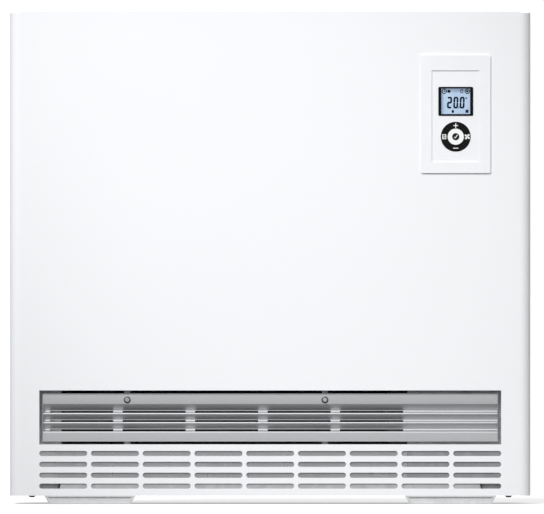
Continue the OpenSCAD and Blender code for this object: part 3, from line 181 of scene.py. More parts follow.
world = bpy.data.worlds.new("studio")
bpy.context.scene.world = world
world.use_nodes = True
sky = world.node_tree
sky.nodes.clear()
looking = grow(sky, "ShaderNodeTexCoord")
upward = grow(sky, "ShaderNodeSeparateXYZ", {0: looking.outputs["Generated"]})
fade = grow(sky, "ShaderNodeMapRange", {
    "Value": upward.outputs["Z"], "From Min": ceiling_from, "From Max": 1.0,
    "To Min": sky_light, "To Max": overhead_light})
seen, lit = (grow(sky, "ShaderNodeBackground", {"Color": (1, 1, 1, 1), "Strength": strength})
             for strength in (shown_white, fade.outputs["Result"]))
by_ray(sky, seen, lit, "ShaderNodeOutputWorld")

def lamp(name, kind, energy, comes_from, **settings):
    """A light from the given direction, as seen from the heater."""
    light = linked(name, bpy.data.lights.new(name, kind))
    light.data.energy = energy
    for setting, value in settings.items():
        setattr(light.data, setting, value)
    light.rotation_euler = comes_from.to_track_quat("Z", "Y").to_euler()
    return light

window = Vector((-0.36, -0.68, 0.66)).normalized()
white_card = Vector((0.85, -0.45, 0.28)).normalized()
bright_spot = Vector((-10, -123, 440)) * mm
lamp("window_light", "SUN", sun_light, window, angle=math.radians(38))
lamp("card_light", "SUN", card_light, white_card, angle=math.radians(80))
spot = lamp("soft_spot", "SPOT", spot_light, window,
            spot_size=math.radians(14.5), spot_blend=1.0, shadow_soft_size=0.25)
spot.location = bright_spot + spot_distance * window
bpy.context.scene.view_settings.view_transform = "Standard"
print("light from", [round(v, 2) for v in window])

# %% [markdown]
# ## Finishes
#
# Each finish is one Principled shader with small, slow changes fed into it. The patterns read
# Object coordinates, which here are the real metres of the heater, so a grain of half a
# millimetre is a noise of scale 2000. In the cells below, t is the node tree of the finish that
# is being made.

# %% Helpers for finishes
finishes = {}

def new_finish(name, colour, rough, metal=0.0, **sockets):
    """A material with one Principled shader; plain values are set on its own sockets."""
    mat = bpy.data.materials.new(name)
    mat.use_nodes = True
    shader = mat.node_tree.nodes["Principled BSDF"]
    shader.inputs["Base Color"].default_value = (*colour, 1)
    shader.inputs["Roughness"].default_value = rough
    shader.inputs["Metallic"].default_value = metal
    for socket, value in sockets.items():
        shader.inputs[socket.replace("_", " ")].default_value = value
    mat.diffuse_color = (*colour, 1)
    finishes[name] = mat
    return mat.node_tree

def place(tree, stretch=(1, 1, 1)):
    """The object's own metres, stretched for patterns that run one way."""
    where = grow(tree, "ShaderNodeTexCoord")
    size = grow(tree, "ShaderNodeMapping", {"Vector": where.outputs["Object"], "Scale": stretch})
    return size.outputs["Vector"]

def noise(tree, vector, scale, detail=2.0, roughness=0.5):
    """A soft pattern of 0..1; its grain is about 1 / scale metres."""
    return grow(tree, "ShaderNodeTexNoise", {
        "Vector": vector, "Scale": scale, "Detail": detail, "Roughness": roughness}).outputs["Fac"]

def cells(tree, vector, scale, output="Color", feature="F1"):
    """A pattern of cells, each about 1 / scale metres wide and with a value of its own."""
    voronoi = grow(tree, "ShaderNodeTexVoronoi", {"Vector": vector, "Scale": scale}, feature=feature)
    return voronoi.outputs[output]

def shade(tree, value, stops):
    """A pattern turned into colours: stops are (position, (r, g, b))."""
    ramp = grow(tree, "ShaderNodeValToRGB", {"Fac": value})
    while len(ramp.color_ramp.elements) < len(stops):
        ramp.color_ramp.elements.new(0.5)
    for element, (at, colour) in zip(ramp.color_ramp.elements, stops):
        element.position = at
        element.color = (*colour, 1)
    return ramp.outputs["Color"]

def feed(tree, socket, value):
    """A pattern led into a socket of the finish's shader."""
    tree.links.new(value, tree.nodes["Principled BSDF"].inputs[socket])

def colour_by(tree, value, stops):
    """The finish's colour from a pattern."""
    feed(tree, "Base Color", shade(tree, value, stops))

def gloss_by(tree, value, low, high, start=0.0, end=1.0):
    """The finish's roughness, from low to high as a pattern goes from start to end."""
    fitted = grow(tree, "ShaderNodeMapRange", {
        "Value": value, "From Min": start, "From Max": end, "To Min": low, "To Max": high})
    feed(tree, "Roughness", fitted.outputs["Result"])

def relief(tree, height, strength, depth):
    """Bump from a height pattern; depth is in metres."""
    bump = grow(tree, "ShaderNodeBump", {"Height": height, "Strength": strength, "Distance": depth})
    feed(tree, "Normal", bump.outputs["Normal"])

# %% [markdown]
# ### White powder coat
#
# The casing's paint is baked powder: white with a breath of blue, satin, with the faint waviness
# that melting grains leave. A broad noise moves the white by one or two parts in a hundred, a fine
# one gives the grain, and the two together keep the big front from looking like paper.

# %% White paint
t = new_finish("white_powder_coat", (0.80, 0.81, 0.83), 0.42)
slow = noise(t, place(t), 2.2, 3)
colour_by(t, slow, [(0.25, (0.795, 0.806, 0.826)), (0.75, (0.815, 0.824, 0.842))])
grain = noise(t, place(t), 900, 3, 0.6)
gloss_by(t, grain, 0.36, 0.50, 0.3, 0.7)
relief(t, grain, 0.10, 0.00012)
print("white paint has", len(t.nodes), "nodes")

# %% [markdown]
# ### Zinc-coated sheet
#
# Hot-dip zinc freezes in flat crystals, the spangle. Voronoi cells are just such a crystal map:
# each cell gets its own grey and its own gloss. The sheet is also rolled, so a noise stretched
# along X adds fine lines. The base pan's lip is a darker zinc. Further in, behind a given Y, the
# pan is painted much brighter: painted light that lifts the shade it stands in behind the front.

# %% Galvanised sheet and feet
# painted light: the brighter zinc that the pan gets further in, where it stands in shade
lifted_low, lifted_high = (0.70, 0.705, 0.715), (0.82, 0.825, 0.835)

def zinc(name, low, high, crystal, rough, metal, lifted_from=None):
    """Zinc-coated sheet from low to high grey, with crystals of the given size in metres.

    Behind the given Y in metres, the sheet is painted brighter: painted light over the shade there.
    """
    t = new_finish(name, tuple((a + b) / 2 for a, b in zip(low, high)), rough, metal)
    where = place(t)
    spangle = grow(t, "ShaderNodeSeparateColor", {"Color": cells(t, where, 1 / crystal)})
    lines = noise(t, place(t, (0.04, 1, 1)), 1500, 2)
    mixed = both(t, spangle.outputs["Red"], both(t, lines, 0.5), "ADD")
    if lifted_from is None:
        grey, stops = both(t, mixed, 0.66), [(0.1, low), (0.9, high)]
    else:
        # painted light: behind that Y the grey is lifted into the brighter stops
        depth_in = grow(t, "ShaderNodeSeparateXYZ", {0: where})
        behind = both(t, depth_in.outputs["Y"], lifted_from, "GREATER_THAN")
        grey = both(t, both(t, mixed, 0.30), both(t, behind, 0.5), "ADD")
        stops = [(0.05, low), (0.42, high), (0.55, lifted_low), (0.92, lifted_high)]
    colour_by(t, grey, stops)
    gloss_by(t, spangle.outputs["Green"], rough - 0.08, rough + 0.12)
    relief(t, lines, 0.06, 0.0001)

zinc("galvanised", (0.56, 0.565, 0.575), (0.70, 0.705, 0.715), 0.011, 0.42, 0.25)
zinc("foot_zinc", (0.58, 0.585, 0.59), (0.66, 0.665, 0.67), 0.006, 0.50, 0.10)
zinc("pan_zinc", (0.35, 0.355, 0.365), (0.43, 0.435, 0.445), 0.009, 0.50, 0.10, lifted_from=-0.115)
zinc("cover_zinc", (0.20, 0.205, 0.215), (0.25, 0.255, 0.265), 0.009, 0.50, 0.10)
print(len(finishes), "finishes so far")

# %% [markdown]
# ### Plated screws
#
# A screw's head is bright where the driver turns and nearly black round its rim: painted shade,
# the shadow that rings the head. How far a point lies from the screw's axis, in head radii, comes
# with the mesh as an attribute, so one finish serves heads of every size.

# %% Screws
t = new_finish("screw_zinc", (0.55, 0.56, 0.57), 0.32, 0.6)
from_axis = grow(t, "ShaderNodeAttribute", attribute_name="from_axis")
# painted shade: the outer part of each head goes nearly black, as its shadow
colour_by(t, from_axis.outputs["Fac"], [
    (0.0, (0.62, 0.63, 0.64)), (0.48, (0.56, 0.57, 0.58)),
    (0.62, (0.12, 0.12, 0.125)), (1.0, (0.07, 0.07, 0.075))])
gloss_by(t, noise(t, place(t), 1600), 0.26, 0.44)

# %% [markdown]
# ### Silver-grey grille paint
#
# The grille is sprayed with a matt metallic paint, full of tiny flakes. Very small cells stand
# for the flakes. The shader is mostly metal, which makes the flat flanges brighter than the
# slopes that look down, and it is rough and has no coat of lacquer: a glossy one would throw the
# sun from one louvre to the next, and glare when seen from the side.

# %% Grille paint
t = new_finish("grille_paint", (0.50, 0.505, 0.52), 0.50, 0.78)
flake = grow(t, "ShaderNodeSeparateColor", {"Color": cells(t, place(t), 2600)})
rolled = noise(t, place(t, (0.02, 1, 1)), 700, 2)
tone = both(t, both(t, flake.outputs["Red"], 0.6), both(t, rolled, 0.4), "ADD")
colour_by(t, tone, [(0.1, (0.485, 0.49, 0.505)), (0.9, (0.525, 0.53, 0.545))])
gloss_by(t, flake.outputs["Green"], 0.46, 0.54)
relief(t, flake.outputs["Blue"], 0.012, 0.00003)

# %% [markdown]
# ### Moulded plastics
#
# Moulded pieces carry the eroded surface of their mould: an even, very fine pebble. One helper
# makes them all, from the white control plate to the black keys, with the pebble's size, depth
# and gloss as its arguments. The bezel is polished, so its pebble is almost gone.

# %% Plastics
def moulded(name, colour, rough, pebble=0.0004, depth=0.00005, drift=0.06, **sockets):
    """A moulded piece: pebble and depth in metres, drift is how far its tone wanders."""
    t = new_finish(name, colour, rough, 0.0, **sockets)
    fine = noise(t, place(t), 1 / pebble, 2, 0.6)
    slow = noise(t, place(t), 25, 2)
    low = tuple(c * (1 - drift) for c in colour)
    high = tuple(min(1, c * (1 + drift)) for c in colour)
    colour_by(t, slow, [(0.3, low), (0.7, high)])
    gloss_by(t, fine, rough - 0.05, rough + 0.07, 0.3, 0.7)
    relief(t, fine, 0.15, depth)

moulded("white_moulding", (0.80, 0.81, 0.83), 0.40, drift=0.012)
moulded("key_white_plastic", (0.83, 0.835, 0.84), 0.36, drift=0.012)
moulded("key_black_plastic", (0.005, 0.005, 0.0055), 0.42, Specular_IOR_Level=0.12)
moulded("bezel_gloss", (0.003, 0.004, 0.005), 0.12, depth=0.000005, Specular_IOR_Level=0.12)
moulded("bearing_nylon", (0.012, 0.012, 0.014), 0.5)
moulded("filter_grey", (0.27, 0.275, 0.285), 0.55)
moulded("filter_wire", (0.47, 0.475, 0.49), 0.45, pebble=0.0002, depth=0.00001, Metallic=0.2)
moulded("terminal_white", (0.72, 0.71, 0.66), 0.45)
moulded("controller_case", (0.52, 0.52, 0.50), 0.5)
moulded("phenolic_black", (0.015, 0.013, 0.012), 0.35)
# painted shade: near black, so the duct, frame and flap seen through the openings read as deep shade
moulded("heat_enamel", (0.020, 0.019, 0.018), 0.55, pebble=0.0006)
moulded("grommet_rubber", (0.014, 0.014, 0.014), 0.75, pebble=0.0008, depth=0.0001)
print(len(finishes), "finishes so far")

# %% [markdown]
# ### Metals and minerals inside
#
# None of these shows from outside, yet the part is also looked at piece by piece. The shaft is
# ground round, the wheels are mill aluminium, the stator is a stack of laminations half a
# millimetre thick (a wave along the shaft), the winding is copper wire laid round its limb, and
# the element tubes carry the blue and straw tints of heated steel.

# %% Inner metals
t = new_finish("ground_steel", (0.62, 0.63, 0.65), 0.22, 1.0)
turned = noise(t, place(t, (1, 0.05, 0.05)), 4000, 2)
gloss_by(t, turned, 0.16, 0.34)
relief(t, turned, 0.1, 0.00003)

t = new_finish("mill_aluminium", (0.66, 0.67, 0.69), 0.35, 1.0)
streak = noise(t, place(t, (0.05, 1, 1)), 1800, 3)
colour_by(t, streak, [(0.3, (0.60, 0.61, 0.63)), (0.7, (0.74, 0.75, 0.77))])
gloss_by(t, streak, 0.28, 0.45)

def layered(name, colour_a, colour_b, pitch, axis, rough, metal, depth):
    """A stack of layers along an axis, one every pitch metres."""
    t = new_finish(name, colour_a, rough, metal)
    band = 0.314                          # the width of one band at scale 1
    wave = grow(t, "ShaderNodeTexWave", {
        "Vector": place(t), "Scale": band / pitch, "Distortion": 0.4}, bands_direction=axis)
    colour_by(t, wave.outputs["Fac"], [(0.2, colour_b), (0.7, colour_a)])
    gloss_by(t, noise(t, place(t), 300), rough - 0.1, rough + 0.15)
    relief(t, wave.outputs["Fac"], 0.4, depth)

layered("stator_laminations", (0.20, 0.20, 0.21), (0.09, 0.09, 0.10), 0.0005, "X", 0.5, 0.8, 0.0001)
layered("copper_winding", (0.55, 0.25, 0.10), (0.20, 0.07, 0.03), 0.0007, "Z", 0.35, 0.9, 0.0003)

t = new_finish("tinted_steel", (0.20, 0.18, 0.17), 0.4, 0.9)
tint = noise(t, place(t, (0.3, 1, 1)), 30, 3)
colour_by(t, tint, [
    (0.30, (0.10, 0.11, 0.15)), (0.50, (0.17, 0.15, 0.14)), (0.70, (0.26, 0.20, 0.12))])
gloss_by(t, noise(t, place(t), 600), 0.3, 0.55)

# %% Bricks, insulation and circuit board
t = new_finish("fired_brick", (0.16, 0.115, 0.085), 0.85)
speck = noise(t, place(t), 260, 5, 0.7)
blotch = noise(t, place(t), 18, 3)
colour_by(t, both(t, both(t, speck, 0.6), both(t, blotch, 0.4), "ADD"), [
    (0.35, (0.07, 0.05, 0.04)), (0.5, (0.16, 0.115, 0.085)), (0.66, (0.27, 0.21, 0.165))])
gloss_by(t, speck, 0.72, 0.95)
relief(t, speck, 0.6, 0.0008)

t = new_finish("mineral_board", (0.66, 0.62, 0.52), 0.95)
fibre = noise(t, place(t, (1, 1, 0.25)), 900, 4, 0.7)
colour_by(t, fibre, [(0.3, (0.56, 0.52, 0.42)), (0.7, (0.74, 0.70, 0.61))])
gloss_by(t, fibre, 0.86, 1.0)
relief(t, fibre, 0.5, 0.0006)

t = new_finish("solder_resist", (0.012, 0.10, 0.05), 0.35)
tracks = cells(t, place(t), 420, "Distance", "DISTANCE_TO_EDGE")
colour_by(t, tracks, [(0.03, (0.05, 0.26, 0.12)), (0.08, (0.012, 0.10, 0.05))])
gloss_by(t, tracks, 0.28, 0.42, 0.0, 0.2)
relief(t, tracks, 0.3, 0.0001)
print(len(finishes), "finishes so far")

# %% [markdown]
# ### Display
#
# The display is a backlit panel under clear glass. The panel glows a cool blue-grey, and a broad
# noise keeps the glow from being quite even. The glass is a thin clear sheet, so it is made with
# alpha and a polished surface: light passes straight through it, and only its gloss shows.

# %% Display finishes
t = new_finish("lcd_backlight", (0.30, 0.36, 0.42), 0.35, Emission_Strength=0.80)
glow = noise(t, place(t), 45, 1)
tones = shade(t, glow, [(0.3, (0.275, 0.365, 0.485)), (0.7, (0.325, 0.41, 0.52))])
feed(t, "Base Color", tones)
feed(t, "Emission Color", tones)
gloss_by(t, noise(t, place(t), 2000), 0.3, 0.42)

t = new_finish("display_glass", (0.05, 0.06, 0.08), 0.06, Alpha=0.05, Specular_IOR_Level=0.35)
gloss_by(t, noise(t, place(t), 120), 0.04, 0.09)
moulded("lcd_ink", (0.003, 0.008, 0.030), 0.5, Specular_IOR_Level=0.05)
moulded("print_white", (0.80, 0.80, 0.80), 0.5, drift=0.02)
moulded("print_black", (0.008, 0.008, 0.009), 0.5, Specular_IOR_Level=0.2)
print(len(finishes), "finishes")

# %% [markdown]
# ### Who wears what
#
# Every imported piece gets its finish by name. The pan's lip shows behind the lowest slots and the
# bay cover behind those at the right, each as a grey of its own, so each has its own zinc. The
# pieces along the hot air's way are painted near black: painted shade, so that what shows of them
# through the slits and round the grille reads as deep shade.

# %% Give every imported piece its finish
finish_of = {
    "white_powder_coat": "front_panel left_side_panel right_side_panel top_cover",
    "galvanised": "rear_panel grille_frame fan_drawer left_fan_housing right_fan_housing "
                  "inner_cover partition",
    "pan_zinc": "base_pan",
    "cover_zinc": "bay_cover",
    "foot_zinc": "left_foot right_foot",
    "screw_zinc": "front_screws rear_screws grille_screws control_screws",
    "grille_paint": "outlet_grille",
    "ground_steel": "fan_shaft core_sensor",
    "mill_aluminium": "left_fan_wheel right_fan_wheel",
    "bearing_nylon": "fan_bearings flap_bushes",
    "filter_grey": "lint_filter",
    "stator_laminations": "motor_stator",
    "copper_winding": "motor_coil",
    "fired_brick": "storage_bricks",
    "tinted_steel": "heating_elements",
    # painted shade: the pieces seen through the slits and round the grille
    "heat_enamel": "core_frame outlet_duct mixing_flap",
    "mineral_board": "base_insulation front_insulation rear_insulation left_insulation "
                     "right_insulation top_insulation",
    "terminal_white": "terminal_block",
    "controller_case": "charge_controller",
    "phenolic_black": "safety_cutout",
    "grommet_rubber": "cable_grommet",
    "white_moulding": "control_plate control_housing",
    "bezel_gloss": "display_bezel",
    "display_glass": "display_window",
    "lcd_backlight": "lcd_module",
    "solder_resist": "control_board",
    "key_black_plastic": "plus_key minus_key mode_key fan_key",
    "key_white_plastic": "ok_key",
}
dressed = set()
for finish, names in finish_of.items():
    for name in names.split():
        nodes[name].data.materials.clear()
        nodes[name].data.materials.append(finishes[finish])
        dressed.add(name)
print("dressed", len(dressed), "of", len(nodes), "pieces; bare:", sorted(set(nodes) - dressed))

# %% [markdown]
# ## Louvre grille
#
# The grille is one strip of sheet, pressed into steps: a long slope that looks down, then a short
# riser that looks up and holds the slits, with a round bend between them that catches the light.
# A solid box with cuts would lose those bends. The shape follows a rule, so Geometry Nodes make
# it: a drawn section gets its bends from Fillet Curve and is swept along the grille by Curve to
# Mesh. Columns of slits are counted along X and rows along Z, and a face that lies in both is
# deleted. Solidify then gives the sheet its thickness.

# %% Helpers that start and close a tree of shapes
def new_tree(name, inputs):
    """An empty tree with named inputs, a geometry in and a geometry out."""
    tree = bpy.data.node_groups.new(name, "GeometryNodeTree")
    for label, kind in [("Geometry", "Geometry")] + inputs:
        tree.interface.new_socket(label, in_out="INPUT", socket_type="NodeSocket" + kind)
    tree.interface.new_socket("Geometry", in_out="OUTPUT", socket_type="NodeSocketGeometry")
    return tree, tree.nodes.new("NodeGroupInput").outputs

def close_tree(tree, geometry, finish):
    """Every tree ends as real geometry with its finish."""
    real = grow(tree, "GeometryNodeRealizeInstances", {"Geometry": geometry})
    dress = grow(tree, "GeometryNodeSetMaterial", {"Geometry": real.outputs[0], "Material": finish})
    grow(tree, "NodeGroupOutput", {0: dress.outputs[0]})
    print(tree.name, "has", len(tree.nodes), "nodes")

# %% Helpers that turn a tree's result into a plain mesh
def use_tree(obj, tree, values):
    """Puts a tree on an object as a modifier, with its inputs set by name."""
    modifier = obj.modifiers.new(tree.name, "NODES")
    modifier.node_group = tree
    for item in tree.interface.items_tree:
        if item.item_type == "SOCKET" and item.in_out == "INPUT" and item.name in values:
            modifier[item.identifier] = values[item.name]

def made_real(obj):
    """The evaluated object as a plain mesh, without its modifiers."""
    bpy.context.view_layer.update()
    done = bpy.data.meshes.new_from_object(obj.evaluated_get(bpy.context.evaluated_depsgraph_get()))
    done.name = obj.name
    obj.modifiers.clear()
    obj.data = done
    return obj

def soft_edges(obj, angle=32):
    """Smooth shading over bends, crisp at every edge sharper than the angle."""
    obj.data.shade_smooth()
    obj.data.set_sharp_from_angle(angle=math.radians(angle))
    return obj

# %% The tree that bends and slits a sheet
bent, given = new_tree("bent_slit_sheet", [
    ("Path", "Object"), ("Bend radius", "Float"), ("Bend steps", "Int"), ("First slit", "Float"),
    ("Slit pitch", "Float"), ("Slit length", "Float"), ("Slits in a row", "Int"),
    ("First step", "Float"), ("Step pitch", "Float"), ("Steps", "Int"), ("Lip", "Float"),
    ("Slit height", "Float"), ("Finish", "Material")])
section = grow(bent, "GeometryNodeMeshToCurve", {"Mesh": given["Geometry"]})
rounded = grow(bent, "GeometryNodeFilletCurve", {
    "Curve": section.outputs[0], "Count": given["Bend steps"], "Radius": given["Bend radius"],
    "Limit Radius": True}, mode="POLY")
path = grow(bent, "GeometryNodeObjectInfo", {"Object": given["Path"]})
line = grow(bent, "GeometryNodeMeshToCurve", {"Mesh": path.outputs["Geometry"]})
sheet = grow(bent, "GeometryNodeCurveToMesh", {
    "Curve": line.outputs[0], "Profile Curve": rounded.outputs[0]})
position = grow(bent, "GeometryNodeInputPosition")
where = grow(bent, "ShaderNodeSeparateXYZ", {0: position.outputs[0]})

def in_band(value, start, pitch, low, width, count):
    """1 where value, counted in pitches from start, lies in the band from low, for count bands."""
    steps_away = both(bent, both(bent, value, start, "SUBTRACT"), pitch, "DIVIDE")
    part = both(bent, both(bent, steps_away, 0.0, "FRACT"), pitch)
    over = both(bent, part, low, "GREATER_THAN")
    under = both(bent, part, both(bent, low, width, "ADD"), "LESS_THAN")
    after_first = both(bent, steps_away, 0.0, "GREATER_THAN")
    before_last = both(bent, steps_away, count, "LESS_THAN")
    return both(bent, both(bent, over, under), both(bent, after_first, before_last))

in_column = in_band(where.outputs["X"], given["First slit"], given["Slit pitch"],
                    0.0, given["Slit length"], given["Slits in a row"])
all_steps = both(bent, given["Steps"], given["Step pitch"])
lowest_step = both(bent, given["First step"], all_steps, "SUBTRACT")
in_row = in_band(where.outputs["Z"], lowest_step, given["Step pitch"],
                 given["Lip"], given["Slit height"], given["Steps"])
cut = grow(bent, "GeometryNodeDeleteGeometry", {
    "Geometry": sheet.outputs[0], "Selection": both(bent, in_column, in_row)}, domain="FACE")
close_tree(bent, cut.outputs[0], given["Finish"])

# %% The grille's sizes, in mm
low, high = [[c / mm for c in corner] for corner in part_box("outlet_grille")]
front, top, bottom = low[1], high[2], low[2]
step_top, step_pitch, step_depth, riser_height, step_count = 136.7, 12.47, 8.0, 3.0, 3
slit_pitch, slit_length, slit_height, slit_lip, slit_count = 98.9, 86.1, 2.9, 0.6, 5
slit_margin = 10.7                        # from the grille's left end to its first slit
first_slit = low[0] + slit_margin
bend_radius, end_bend, bend_steps = 1.9, 1.2, 8
sheet_t, top_fold, end_fold = 1.0, 1.1, 5

steps = [(front + top_fold, top), (front, top), (front, step_top)]
for i in range(1, step_count + 1):
    foot = step_top - i * step_pitch
    steps += [(front + step_depth, foot + riser_height), (front, foot)]
steps += [(front, bottom)]
slit_ends = [first_slit + i * slit_pitch + side
             for i in range(slit_count) for side in (0, slit_length)]
stations = [low[0] + end_bend] + slit_ends + [high[0] - end_bend]
print(len(steps), "corners in the section,", len(stations), "stations along the grille")

# %% Press the grille
def drawn(name, points):
    """A line of points as a small mesh, for a tree to read; points in mm."""
    mesh = bpy.data.meshes.new(name)
    edges = [(i, i + 1) for i in range(len(points) - 1)]
    mesh.from_pydata([tuple(c * mm for c in p) for p in points], edges, [])
    return linked(name, mesh)

def pressed(name, section_points, path_points, radius, slits):
    """A section swept along a path by the tree, one sheet thick."""
    strip = drawn(name, section_points)
    route = drawn(name + "_path", path_points)
    use_tree(strip, bent, {
        "Path": route, "Bend radius": radius * mm, "Bend steps": bend_steps,
        "First slit": first_slit * mm, "Slit pitch": slit_pitch * mm,
        "Slit length": slit_length * mm, "Slits in a row": slits,
        "First step": step_top * mm, "Step pitch": step_pitch * mm, "Steps": step_count,
        "Lip": slit_lip * mm, "Slit height": slit_height * mm, "Finish": finishes["grille_paint"]})
    wall = strip.modifiers.new("sheet", "SOLIDIFY")
    wall.thickness, wall.offset, wall.use_even_offset = sheet_t * mm, -1, True
    made_real(strip)
    bpy.data.objects.remove(route)
    return strip

def joined(first, others):
    """Several pieces as one mesh, with their doubled points merged."""
    bm = bmesh.new()
    for piece in [first] + others:
        bm.from_mesh(piece.data)
    bmesh.ops.remove_doubles(bm, verts=bm.verts[:], dist=0.001 * mm)
    bm.to_mesh(first.data)
    bm.free()
    for piece in others:
        bpy.data.objects.remove(piece)
    return first

# a path along +X carries the section's x to -Y and its y to -Z; one along +Z keeps both
louvres = pressed("louvre_grille", [(-y, -z, 0) for y, z in steps], [(x, 0, 0) for x in stations],
                  bend_radius, slit_count)
upright_path = [(0, 0, bottom), (0, 0, top)]
left_end = [(low[0], front + end_fold, 0), (low[0], front, 0), (low[0] + end_bend, front, 0)]
right_end = [(high[0] - end_bend, front, 0), (high[0], front, 0), (high[0], front + end_fold, 0)]
ends = [pressed("end", corners, upright_path, end_bend, 0) for corners in (left_end, right_end)]

grille = soft_edges(joined(louvres, ends))
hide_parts("outlet_grille")
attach(grille, "casing")
facing = sum(p.area for p in grille.data.polygons if p.normal.y < -0.99)
print("grille:", len(grille.data.polygons), "faces,", round(facing / mm**2), "mm2 look to the front")

# %% [markdown]
# ## Screws
#
# Pan-head sheet screws hold the casing, the grille and the controls: a low dome with a cross
# recess, a shank, and a thread that winds round it. One screw is modelled once, by turning a
# profile, cutting the cross and winding the thread, and a small tree sets it on every place.

# %% The steps that make a screw
def object_from(name, bm):
    """A new object from a finished bmesh."""
    mesh = bpy.data.meshes.new(name)
    bm.to_mesh(mesh)
    bm.free()
    return linked(name, mesh)

def turned_profile(profile, sides):
    """A closed body of revolution round Y from (radius, y) points in mm."""
    bm = bmesh.new()
    rings = []
    for r, y in profile:
        if r == 0:
            rings.append([bm.verts.new((0, y * mm, 0))])
        else:
            rings.append([bm.verts.new((r * mm * math.cos(a), y * mm, r * mm * math.sin(a)))
                          for a in (2 * math.pi * k / sides for k in range(sides))])
    for a, b in zip(rings, rings[1:]):
        for k in range(sides):
            n = (k + 1) % sides
            corners = [a[k % len(a)], a[n % len(a)], b[n % len(b)], b[k % len(b)]]
            bm.faces.new(list(dict.fromkeys(corners)))
    bmesh.ops.recalc_face_normals(bm, faces=bm.faces[:])
    return bm

def cross_block(arm, half, deep, crown):
    """Two crossed blocks that narrow as they go in from the crown, sizes in mm."""
    bm = bmesh.new()
    for turn in (0, 90):
        turn_by = Matrix.Rotation(math.radians(turn), 4, "Y")
        for v in bmesh.ops.create_cube(bm, size=1)["verts"]:
            narrow = 0.55 if v.co.y > 0 else 1.0
            v.co = turn_by @ Vector((v.co.x * 2 * arm * narrow, v.co.y * 2 * deep + crown,
                                     v.co.z * 2 * half * narrow)) * mm
    return object_from("cross", bm)

def wind_thread(bm, root, shank_r, length):
    """A thread round the shank, from under the head to short of the point, sizes in mm."""
    sides, pitch, half_w = 12, 1.6, 0.4
    starts, bare_point = 0.6, 2.5
    flush, sunk = root * 0.95, root * 0.9
    turns = (length - bare_point) / pitch
    crest = []
    for k in range(int(sides * turns) + 1):
        a, y = 2 * math.pi * k / sides, starts + pitch * k / sides
        fade = min(1, k / sides, (sides * turns - k) / sides)
        tip = flush + (shank_r - flush) * max(0.05, fade)
        crest.append([bm.verts.new((r * mm * math.cos(a), (y + dy) * mm, r * mm * math.sin(a)))
                      for r, dy in ((sunk, -half_w), (tip, 0), (sunk, half_w))])
    for one, two in zip(crest, crest[1:]):
        for i in range(3):
            bm.faces.new((one[i], one[(i + 1) % 3], two[(i + 1) % 3], two[i]))
    bm.faces.new(crest[0])
    bm.faces.new(crest[-1])
    bmesh.ops.recalc_face_normals(bm, faces=bm.faces[:])

# %% Model the two kinds of screw
def pan_screw(name, head_r, head_h, shank_r, length):
    """A pan-head cross-recess screw: its seat at y = 0, its crown towards -Y, sizes in mm."""
    root = shank_r * 0.78
    dome = [(0.45, 0.99), (0.66, 0.92), (0.74, 0.70), (0.80, 0.46), (0.95, 0.34), (1.0, 0.18)]
    profile = [(0, -head_h)] + [(head_r * out, -head_h * up) for out, up in dome]
    profile += [(head_r * 0.99, 0), (root, 0), (root, length - 2), (0, length)]
    screw = object_from(name, turned_profile(profile, 32))
    cross = cross_block(head_r * 0.46, head_r * 0.11, head_h * 0.62, -head_h)
    recess = screw.modifiers.new("recess", "BOOLEAN")
    recess.operation, recess.solver, recess.use_self = "DIFFERENCE", "EXACT", True
    recess.object = cross
    made_real(screw)
    bpy.data.objects.remove(cross)
    bm = bmesh.new()
    bm.from_mesh(screw.data)
    wind_thread(bm, root, shank_r, length)
    shank_tone = 0.3                      # below the head the finish stays bright
    from_axis = bm.verts.layers.float.new("from_axis")
    for v in bm.verts:
        on_head = v.co.y < 0.2 * mm
        v[from_axis] = math.hypot(v.co.x, v.co.z) / (head_r * mm) if on_head else shank_tone
    bm.to_mesh(screw.data)
    bm.free()
    return soft_edges(screw, 40)

casing_head_r, small_head_r, head_h = 4.7, 2.8, 2.2
casing_screw = pan_screw("casing_screw", casing_head_r, head_h, shank_r=2.1, length=9)
small_screw = pan_screw("small_screw", small_head_r, head_h, shank_r=1.2, length=9)
print("one screw has", len(casing_screw.data.polygons), "faces")

# %% A tree that sets one shape on many points
set_down, given = new_tree("set_down_on_points", [("Shape", "Object"), ("Finish", "Material")])
shape = grow(set_down, "GeometryNodeObjectInfo", {"Object": given["Shape"]})
turn = grow(set_down, "GeometryNodeInputNamedAttribute", {"Name": "turn"}, data_type="FLOAT_VECTOR")
angles = grow(set_down, "FunctionNodeEulerToRotation", {0: turn.outputs["Attribute"]})
put = grow(set_down, "GeometryNodeInstanceOnPoints", {
    "Points": given["Geometry"], "Instance": shape.outputs["Geometry"],
    "Rotation": angles.outputs[0]})
close_tree(set_down, put.outputs[0], given["Finish"])

def lay_out(name, shape, points, turns, finish, body):
    """Sets shape on each point, turned by its angles, as one plain piece on a body."""
    obj = mesh_object(name, points, [])
    turn = obj.data.attributes.new("turn", "FLOAT_VECTOR", "POINT")
    turn.data.foreach_set("vector", [v for angles in turns for v in angles])
    use_tree(obj, set_down, {"Shape": shape, "Finish": finishes[finish]})
    made_real(obj)
    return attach(obj, body)

# %% Set the screws
def evenly(a, b, count):
    """Places from a to b, or their middle for one."""
    return [(a + b) / 2] if count == 1 else [a + (b - a) * i / (count - 1) for i in range(count)]

def middles(node, count_x, count_z, y, head_r=casing_head_r):
    """Seats for a node's screws, which stand in an even grid: its box less a head's radius."""
    a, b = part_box(node)
    r = head_r * mm
    return [(x, y, z) for x in evenly(a.x + r, b.x - r, count_x)
            for z in evenly(a.z + r, b.z - r, count_z)]

